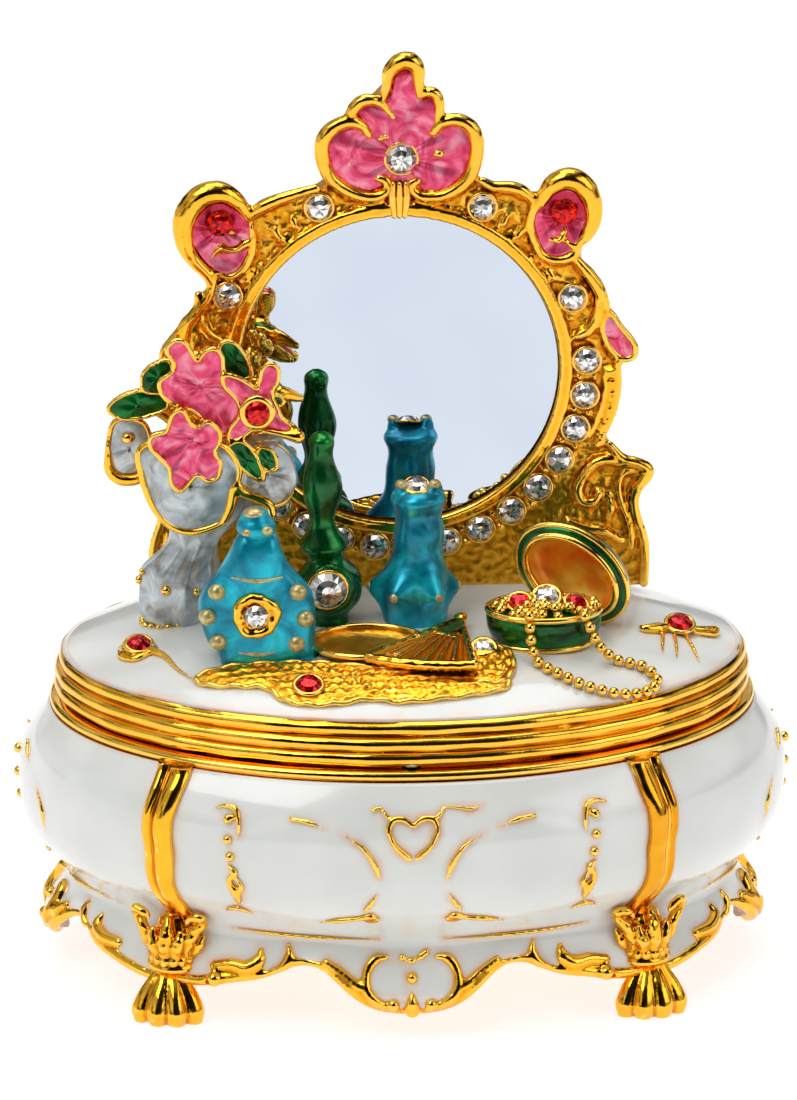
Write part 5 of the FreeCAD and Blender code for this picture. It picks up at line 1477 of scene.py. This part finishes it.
def oval_rings(centre, rings, axes, segments=64):
    """Skin over rings (half width, half depth, offset) along the third of three axes."""
    wide, deep, normal = (np.array(axis, float) / np.linalg.norm(axis) for axis in axes)
    turn = np.arange(segments) / segments * TAU
    points = []
    for half_wide, half_deep, offset in rings:
        points.append(np.array(centre) + half_wide * np.cos(turn)[:, None] * wide
                      + half_deep * np.sin(turn)[:, None] * deep + offset * normal)
    faces = [tuple(reversed(face)) for face in grid_faces(len(rings), segments, False, True)]
    faces.append(tuple(range(segments)))
    faces.append(tuple((len(rings) - 1) * segments + k for k in reversed(range(segments))))
    return np.concatenate(points), faces


def oval_line(centre, half_wide, half_deep, offset, axes, count=60):
    """Closed oval line in the same three axes."""
    wide, deep, normal = (np.array(axis, float) / np.linalg.norm(axis) for axis in axes)
    turn = np.arange(count) / count * TAU
    return (np.array(centre) + half_wide * np.cos(turn)[:, None] * wide
            + half_deep * np.sin(turn)[:, None] * deep + offset * normal)


AMBER = pearl_surface("amber_lining", (0.95, 0.06, 0.0), (1.0, 0.42, 0.02), (1.0, 0.74, 0.12), 4.5, 0.4, 0.4)
UPRIGHT = ((1, 0, 0), (0, 1, 0), (0, 0, 1))
LID_FACING = np.array((-0.36, -0.93, -0.03))
LID_ALONG = np.array((0.80, -0.29, -0.52))
LID_AXES = (LID_ALONG, np.cross(LID_FACING, LID_ALONG), LID_FACING)


def make_casket():
    """Open casket: green band with gold edges, an amber lining, beads and stones."""
    low, high = box_mm("casket_base")
    x, y = (low[0] + high[0]) / 2, (low[1] + high[1]) / 2
    wide, deep = (high[0] - low[0]) / 2, (high[1] - low[1]) / 2
    foot = float(dome_height(x, y)) - 0.2
    centre = (x, y, 0)
    wall = oval_rings(centre, ((wide * 0.8, deep * 0.8, foot), (wide * 0.9, deep * 0.88, foot + 0.7),
                               (wide * 0.98, deep * 0.98, foot + 1.8), (wide, deep, foot + 3.0),
                               (wide * 0.97, deep * 0.97, foot + 3.7), (wide * 0.8, deep * 0.8, foot + 3.6)), UPRIGHT)
    piece("casket_band", wall, GREEN, "lid", ("casket_base",))
    edges = [tube(oval_line(centre, wide * 0.97, deep * 0.97, foot + 3.75, UPRIGHT), 0.36, 8, 1.0, True),
             tube(oval_line(centre, wide * 0.84, deep * 0.84, foot + 0.3, UPRIGHT), 0.34, 8, 1.0, True)]
    heap = random.Random(11)
    for k in range(90):
        turn = heap.uniform(0, TAU)
        reach = heap.uniform(0, 1) ** 0.5
        edges.append(ball((x + wide * 0.9 * reach * math.cos(turn), y + deep * 0.88 * reach * math.sin(turn),
                           foot + 3.6 + 0.8 * (1 - reach) + heap.uniform(0, 0.5)), 0.58, 10, 8))
    piece("casket_gold", merged(edges), GOLD, "lid", ())
    clear = ((x + 0.3, y + 0.2, foot + 4.9), 1.35, (0.0, -0.55, 0.83))
    stones("casket_stone", [gem(*clear)], CRYSTAL, ("casket_crystal",))
    reds = [((x - 2.6, y + 0.1, foot + 4.4), 1.15, (-0.2, -0.5, 0.84)),
            ((x + 3.3, y - 0.5, foot + 4.3), 1.2, (0.3, -0.5, 0.8))]
    stones("casket_reds", [gem(*entry) for entry in reds], RUBY, ("casket_rubies",))
    piece("casket_cups", merged([cup(*entry, thickness=0.16) for entry in reds + [clear]]), GOLD, "lid", ())
    middle = (17.4, -3.7, 42.6)
    outside = ((0.5, 0.4, -3.5), (3.4, 2.4, -3.3), (5.4, 3.9, -2.6), (6.4, 4.7, -1.6), (6.45, 4.75, -0.6),
               (6.25, 4.55, -0.1), (5.4, 3.8, 0.1))
    inside = ((5.1, 3.55, -0.2), (4.9, 3.4, -0.9), (3.9, 2.7, -1.7), (2.3, 1.6, -2.2), (0.4, 0.3, -2.4))
    cover = oval_rings(middle, outside + inside, LID_AXES)
    shades = [0 if ring < len(outside) - 1 else 1 for ring in range(len(outside + inside) - 1) for k in range(64)]
    piece("casket_lid_enamel", cover, (GREEN, AMBER), "lid", ("casket_lid",),
          paint=shades + [0, 1])
    rims = [tube(oval_line(middle, 5.3, 3.7, 0.15, LID_AXES), 0.42, 8, 1.0, True),
            tube(oval_line(middle, 6.4, 4.7, -0.45, LID_AXES), 0.34, 8, 1.0, True)]
    piece("casket_lid_gold", merged(rims), GOLD, "lid", ())


def make_necklace():
    """String of touching beads: down from the casket, in a loop on the lid and up again."""
    bead = 0.6
    loop = [(13.4, -14.9), (15.6, -16.6), (18.6, -17.8), (21.8, -17.9), (24.6, -16.7), (25.6, -14.8),
            (24.2, -13.3), (21.6, -13.0)]
    route = [(12.5, -12.9, 41.6), (12.6, -13.5, 39.9), (12.8, -14.0, 38.5)]
    route += [on_dome(x, y, bead) for x, y in loop]
    route += [(19.8, -13.4, 38.3), (19.0, -13.2, 39.8), (18.2, -12.7, 41.4)]
    line = curve(route, 20)
    steps = np.linalg.norm(np.diff(line, axis=0), axis=1)
    travelled = np.concatenate([[0], np.cumsum(steps)])
    places = np.linspace(0, travelled[-1], int(travelled[-1] / (bead * 1.98)))
    spots = np.stack([np.interp(places, travelled, line[:, axis]) for axis in range(3)], -1)
    piece("necklace", merged([ball(spot, bead, 14, 10) for spot in spots]), GOLD, "lid",
          ("bead_necklace",))


make_casket()
make_necklace()


# ------------------------------------------------------------------ mat, dish, fan and brooches

def lying(outline, centre, up, thick, relief, per=6, rings=16):
    """Thin plate that lies on the dome over a closed (x, y) outline, with relief on top."""
    edge = curve(outline, per, True)
    middle = np.array(centre, float)
    rows = []
    for share in np.linspace(0.03, 1, rings):
        flat = middle + (edge - middle) * share
        lift = up + thick + relief(flat[:, 0], flat[:, 1]) * min(1.0, (1 - share) * 6)
        rows.append(np.stack([flat[:, 0], flat[:, 1], dome_height(flat[:, 0], flat[:, 1]) + lift], -1))
    rows.append(np.stack([edge[:, 0], edge[:, 1], dome_height(edge[:, 0], edge[:, 1]) + up - 0.3], -1))
    columns = len(edge)
    faces = [tuple(reversed(face)) for face in grid_faces(len(rows), columns, False, True)]
    faces.append(tuple(range(columns)))
    faces.append(tuple((len(rows) - 1) * columns + k for k in reversed(range(columns))))
    return np.concatenate(rows), faces


def scale_relief(x, y):
    """Overlapping scales."""
    row = np.floor(y / 0.95)
    across = (x + 0.6 * (row % 2)) / 1.2
    shift = across - np.floor(across) - 0.5
    up = y / 0.95 - row
    return 0.32 * np.sqrt(np.clip(1 - 3.2 * shift ** 2 - 0.8 * (up - 0.1) ** 2, 0, 1))


MAT = ((-21.8, -14.5), (-20.4, -15.9), (-17.2, -16.9), (-14.6, -17.6), (-13.0, -19.4), (-10.6, -20.4), (-7.4, -20.7),
       (-4.0, -20.4), (-1.0, -20.9), (3.0, -20.5), (6.6, -19.8), (9.8, -18.7), (10.0, -17.0), (8.4, -15.4),
       (4.0, -16.4), (0.0, -16.4), (-4.0, -15.6), (-8.6, -14.4), (-12.0, -13.9), (-16.0, -13.6), (-19.6, -13.6))
CLOTH = ((6.0, -15.8), (6.8, -13.2), (8.2, -11.6), (10.0, -11.8), (10.8, -14.0), (10.5, -16.6), (9.2, -18.2), (6.8, -18.0))


def make_flat_pieces():
    """Lace mat, oval dish, folded fan and the two brooches."""
    mat = merged([lying(MAT, (-6.0, -17.4), 0.0, 0.35, scale_relief, 8, 30),
                  lying(CLOTH, (8.6, -15.0), 0.15, 0.3, scale_relief, 8, 20)])
    mat = roughened(mat, 0.16, 0.5)
    edges = []
    for outline, lift in ((MAT, 0.25), (CLOTH, 0.35)):
        edge = curve(outline, 6, True)
        wave = 0.12 * np.sin(np.arange(len(edge)) * 1.3)
        edges.append(tube([on_dome(x, y, lift + up) for (x, y), up in zip(edge, wave)], 0.3, 8, 1.0, True))
    piece("mat", merged([mat] + edges), DEEP_GOLD, "lid", ("lace_mat",))
    low, high = box_mm("oval_dish")
    x, y = (low[0] + high[0]) / 2, (low[1] + high[1]) / 2
    wide, deep = (high[0] - low[0]) / 2, (high[1] - low[1]) / 2
    level = float(dome_height(x, y))
    tray = oval_rings((x, y, level), ((wide * 0.9, deep * 0.9, -0.1), (wide, deep, 0.75), (wide * 0.96, deep * 0.96, 0.8),
                                      (wide * 0.86, deep * 0.86, 0.3), (wide * 0.3, deep * 0.3, 0.18)), UPRIGHT)
    piece("dish", roughened(tray, 0.08, 0.8), DISH_GOLD, "lid", ("oval_dish",))
    piece("dish_rim", tube(oval_line((x, y, level), wide * 0.98, deep * 0.98, 0.8, UPRIGHT), 0.34, 8, 1.0, True),
          GOLD, "lid", ())
    make_fan()
    for name, place, radius, lean in (("mat_ruby", (-10.3, -18.6, 0.75), 1.4, (0, -0.35, 0.93)),
                                      ("bow_ruby", (28.9, -3.4, 0.75), 1.4, (0.1, -0.3, 0.95)),
                                      ("leaf_ruby", (-27.6, -7.0, 0.75), 1.3, (0, -0.3, 0.95))):
        stone = (on_dome(*place), radius, lean)
        stones(name + "_stone", [gem(*stone)], RUBY, (name,))
        piece(name + "_cup", cup(*stone, thickness=0.2), GOLD, "lid", ())
    make_brooches()


def flick(points, radius, up=0.25):
    """Tapering gold line over the dome through (x, y) points."""
    return tube([on_dome(x, y, up) for x, y in curve(points, 6)], radius, 8)


def make_brooches():
    """Bow with two wings and three tails, and a leaf with a long stem."""
    bow = [flick([(28.2, -3.6), (26.6, -4.6), (25.0, -5.2), (24.6, -4.6)], (0.4, 0.7, 0.5, 0.12), 0.35),
           flick([(29.6, -3.0), (31.4, -2.4), (33.0, -1.0), (32.6, -2.8), (30.4, -3.8)], (0.3, 0.42, 0.3, 0.36, 0.2), 0.35),
           flick([(27.0, -4.8), (26.8, -7.0), (26.6, -9.4)], (0.26, 0.24, 0.1), 0.15),
           flick([(28.2, -4.8), (28.2, -7.4), (28.0, -10.0)], (0.24, 0.22, 0.1), 0.15),
           flick([(29.4, -4.6), (30.0, -7.0), (30.4, -9.6)], (0.26, 0.24, 0.1), 0.15),
           ball(on_dome(28.9, -3.4, 0.35), (1.7, 1.5, 0.5))]
    piece("bow", melted(merged(bow), 0.16, 2), GOLD, "lid", ("bow_brooch",))
    leaf = [flick([(-29.8, -5.6), (-28.6, -4.9), (-26.6, -5.8), (-25.8, -7.6)], (0.1, 0.36, 0.34, 0.2)),
            flick([(-29.8, -5.8), (-29.4, -7.6), (-27.8, -8.8), (-25.8, -7.8)], (0.1, 0.4, 0.4, 0.3)),
            flick([(-26.4, -7.8), (-25.0, -9.6), (-23.6, -12.4), (-21.9, -14.6)], (0.5, 0.34, 0.2, 0.1)),
            ball(on_dome(-27.6, -7.0, 0.3), (1.9, 1.5, 0.5))]
    piece("leaf", melted(merged(leaf), 0.16, 2), GOLD, "lid", ("leaf_brooch",))


def make_fan():
    """Folded fan: pleats spread from a pivot to a thick front guard."""
    pivot = np.array((5.9, -5.0))
    left = np.array((-4.3, -15.0)) - pivot
    right = np.array((6.6, -17.6)) - pivot
    angles = np.linspace(math.atan2(left[1], left[0]), math.atan2(right[1], right[0]), 31)
    lengths = np.interp(np.linspace(0, 1, 31), (0, 0.5, 1), (np.linalg.norm(left), 13.2, np.linalg.norm(right)))
    level = float(dome_height(0, 0)) + 1.2
    rows = []
    for under in (0, 1):
        for share in (np.linspace(0.06, 1, 14) if not under else np.linspace(1, 0.06, 14)):
            for k, (angle, length) in enumerate(zip(angles, lengths)):
                x, y = pivot + share * length * np.array((math.cos(angle), math.sin(angle)))
                pleat = 0.34 * share * (1 if k % 2 else -1)
                rows.append((x, y, level - 0.35 * share + pleat - 0.35 * under))
    leaf = np.array(rows), grid_faces(28, 31, True, False)
    piece("fan_leaf", leaf, FAN_GOLD, "lid", ("folding_fan",), smooth=False)
    arc = [np.append(pivot + length * np.array((math.cos(angle), math.sin(angle))), level - 0.35)
           for angle, length in zip(angles, lengths)]
    gold_forms = [tube(curve(arc[::3], 4), (0.5, 0.62, 0.55, 0.6), 10)]
    for k in (0, 30):
        gold_forms.append(tube([np.append(pivot, level), arc[k]], (0.35, 0.45), 8))
    for k in range(4, 28, 4):
        gold_forms.append(tube([np.append(pivot, level), arc[k] + np.array((0, 0, 0.35))], (0.18, 0.22), 6))
    gold_forms.append(ball(np.append(pivot, level), (0.8, 0.8, 0.6)))
    gold_forms.append(ball(on_dome(7.9, -12.9, 0.5), (1.8, 1.5, 0.6)))
    piece("fan_gold", roughened(melted(merged(gold_forms), 0.18, 2), 0.1, 0.9), GOLD, "lid", ())
    stone = (on_dome(7.9, -12.9, 0.85), 1.15, (0.1, -0.5, 0.86))
    stones("fan_stone", [gem(*stone)], CRYSTAL, ("fan_crystal",))
    piece("fan_cup", cup(*stone, thickness=0.22), GOLD, "lid", ())


make_flat_pieces()


# ------------------------------------------------------------------ stage

def make_stage():
    """White floor, soft lights, a light tent with a dark opening round the camera, the camera."""
    bpy.ops.mesh.primitive_plane_add(size=6)
    floor = bpy.context.object
    floor.name = "floor"
    paper = Surface("paper", Roughness=0.6, Emission_Strength=0.80)
    paper.shader.inputs["Base Color"].default_value = (0.35, 0.35, 0.35, 1)
    paper.shader.inputs["Emission Color"].default_value = (1, 1, 1, 1)
    floor.data.materials.append(paper.material)
    for name, place, aim, size, power in (
            ("key", (-0.35, -0.35, 0.75), (0, 0, 0.04), 0.45, 2.2),
            ("fill", (0.6, -0.45, 0.45), (0, 0, 0.04), 0.5, 0.9),
            ("top", (0.0, 0.15, 0.9), (0, 0, 0.04), 0.6, 3.1)):
        lamp = bpy.data.lights.new(name, "AREA")
        lamp.energy = power
        lamp.size = size
        thing = bpy.data.objects.new(name, lamp)
        thing.location = place
        direction = Vector(aim) - Vector(place)
        thing.rotation_euler = direction.to_track_quat("-Z", "Y").to_euler()
        bpy.context.collection.objects.link(thing)
    world = bpy.data.worlds.new("studio")
    world.use_nodes = True
    tree = world.node_tree
    place = tree.nodes.new("ShaderNodeTexCoord")
    cards = tree.nodes.new("ShaderNodeTexNoise")
    cards.inputs["Scale"].default_value = 2.3
    cards.inputs["Detail"].default_value = 1.0
    tree.links.new(place.outputs["Generated"], cards.inputs["Vector"])
    ramp = tree.nodes.new("ShaderNodeValToRGB")
    elements = ramp.color_ramp.elements
    stops = ((0.40, 0.02), (0.45, 0.12), (0.48, 0.9), (0.60, 1.1), (0.66, 2.0))
    while len(elements) < len(stops):
        elements.new(0.5)
    for element, (position, level) in zip(elements, stops):
        element.position = position
        element.color = (level, level, level, 1)
    tree.links.new(cards.outputs["Fac"], ramp.inputs["Fac"])
    opening = tree.nodes.new("ShaderNodeVectorMath")
    opening.operation = "DOT_PRODUCT"
    opening.inputs[1].default_value = (0.04, -0.90, 0.43)
    tree.links.new(place.outputs["Generated"], opening.inputs[0])
    tent = tree.nodes.new("ShaderNodeMapRange")
    tent.inputs["From Min"].default_value = 0.72
    tent.inputs["From Max"].default_value = 0.90
    tent.inputs["To Min"].default_value = 1.0
    tent.inputs["To Max"].default_value = 0.02
    tree.links.new(opening.outputs["Value"], tent.inputs["Value"])
    shade = tree.nodes.new("ShaderNodeVectorMath")
    shade.operation = "MULTIPLY"
    tree.links.new(ramp.outputs["Color"], shade.inputs[0])
    tree.links.new(tent.outputs["Result"], shade.inputs[1])
    tree.links.new(shade.outputs["Vector"], tree.nodes["Background"].inputs["Color"])
    tree.nodes["Background"].inputs["Strength"].default_value = 0.5
    bpy.context.scene.world = world
    camera = bpy.data.cameras.new("camera")
    camera.lens = 188
    thing = bpy.data.objects.new("camera", camera)
    elevation = math.radians(20)
    yaw = math.radians(2.3)
    ahead = Vector((math.cos(elevation) * math.sin(yaw), math.cos(elevation) * math.cos(yaw),
                    -math.sin(elevation)))
    thing.location = Vector((-0.0004, 0, 0.0443)) - ahead * 0.6
    thing.rotation_euler = ahead.to_track_quat("-Z", "Y").to_euler()
    bpy.context.collection.objects.link(thing)
    bpy.context.scene.camera = thing
    bpy.context.scene.view_settings.view_transform = "Standard"


make_stage()
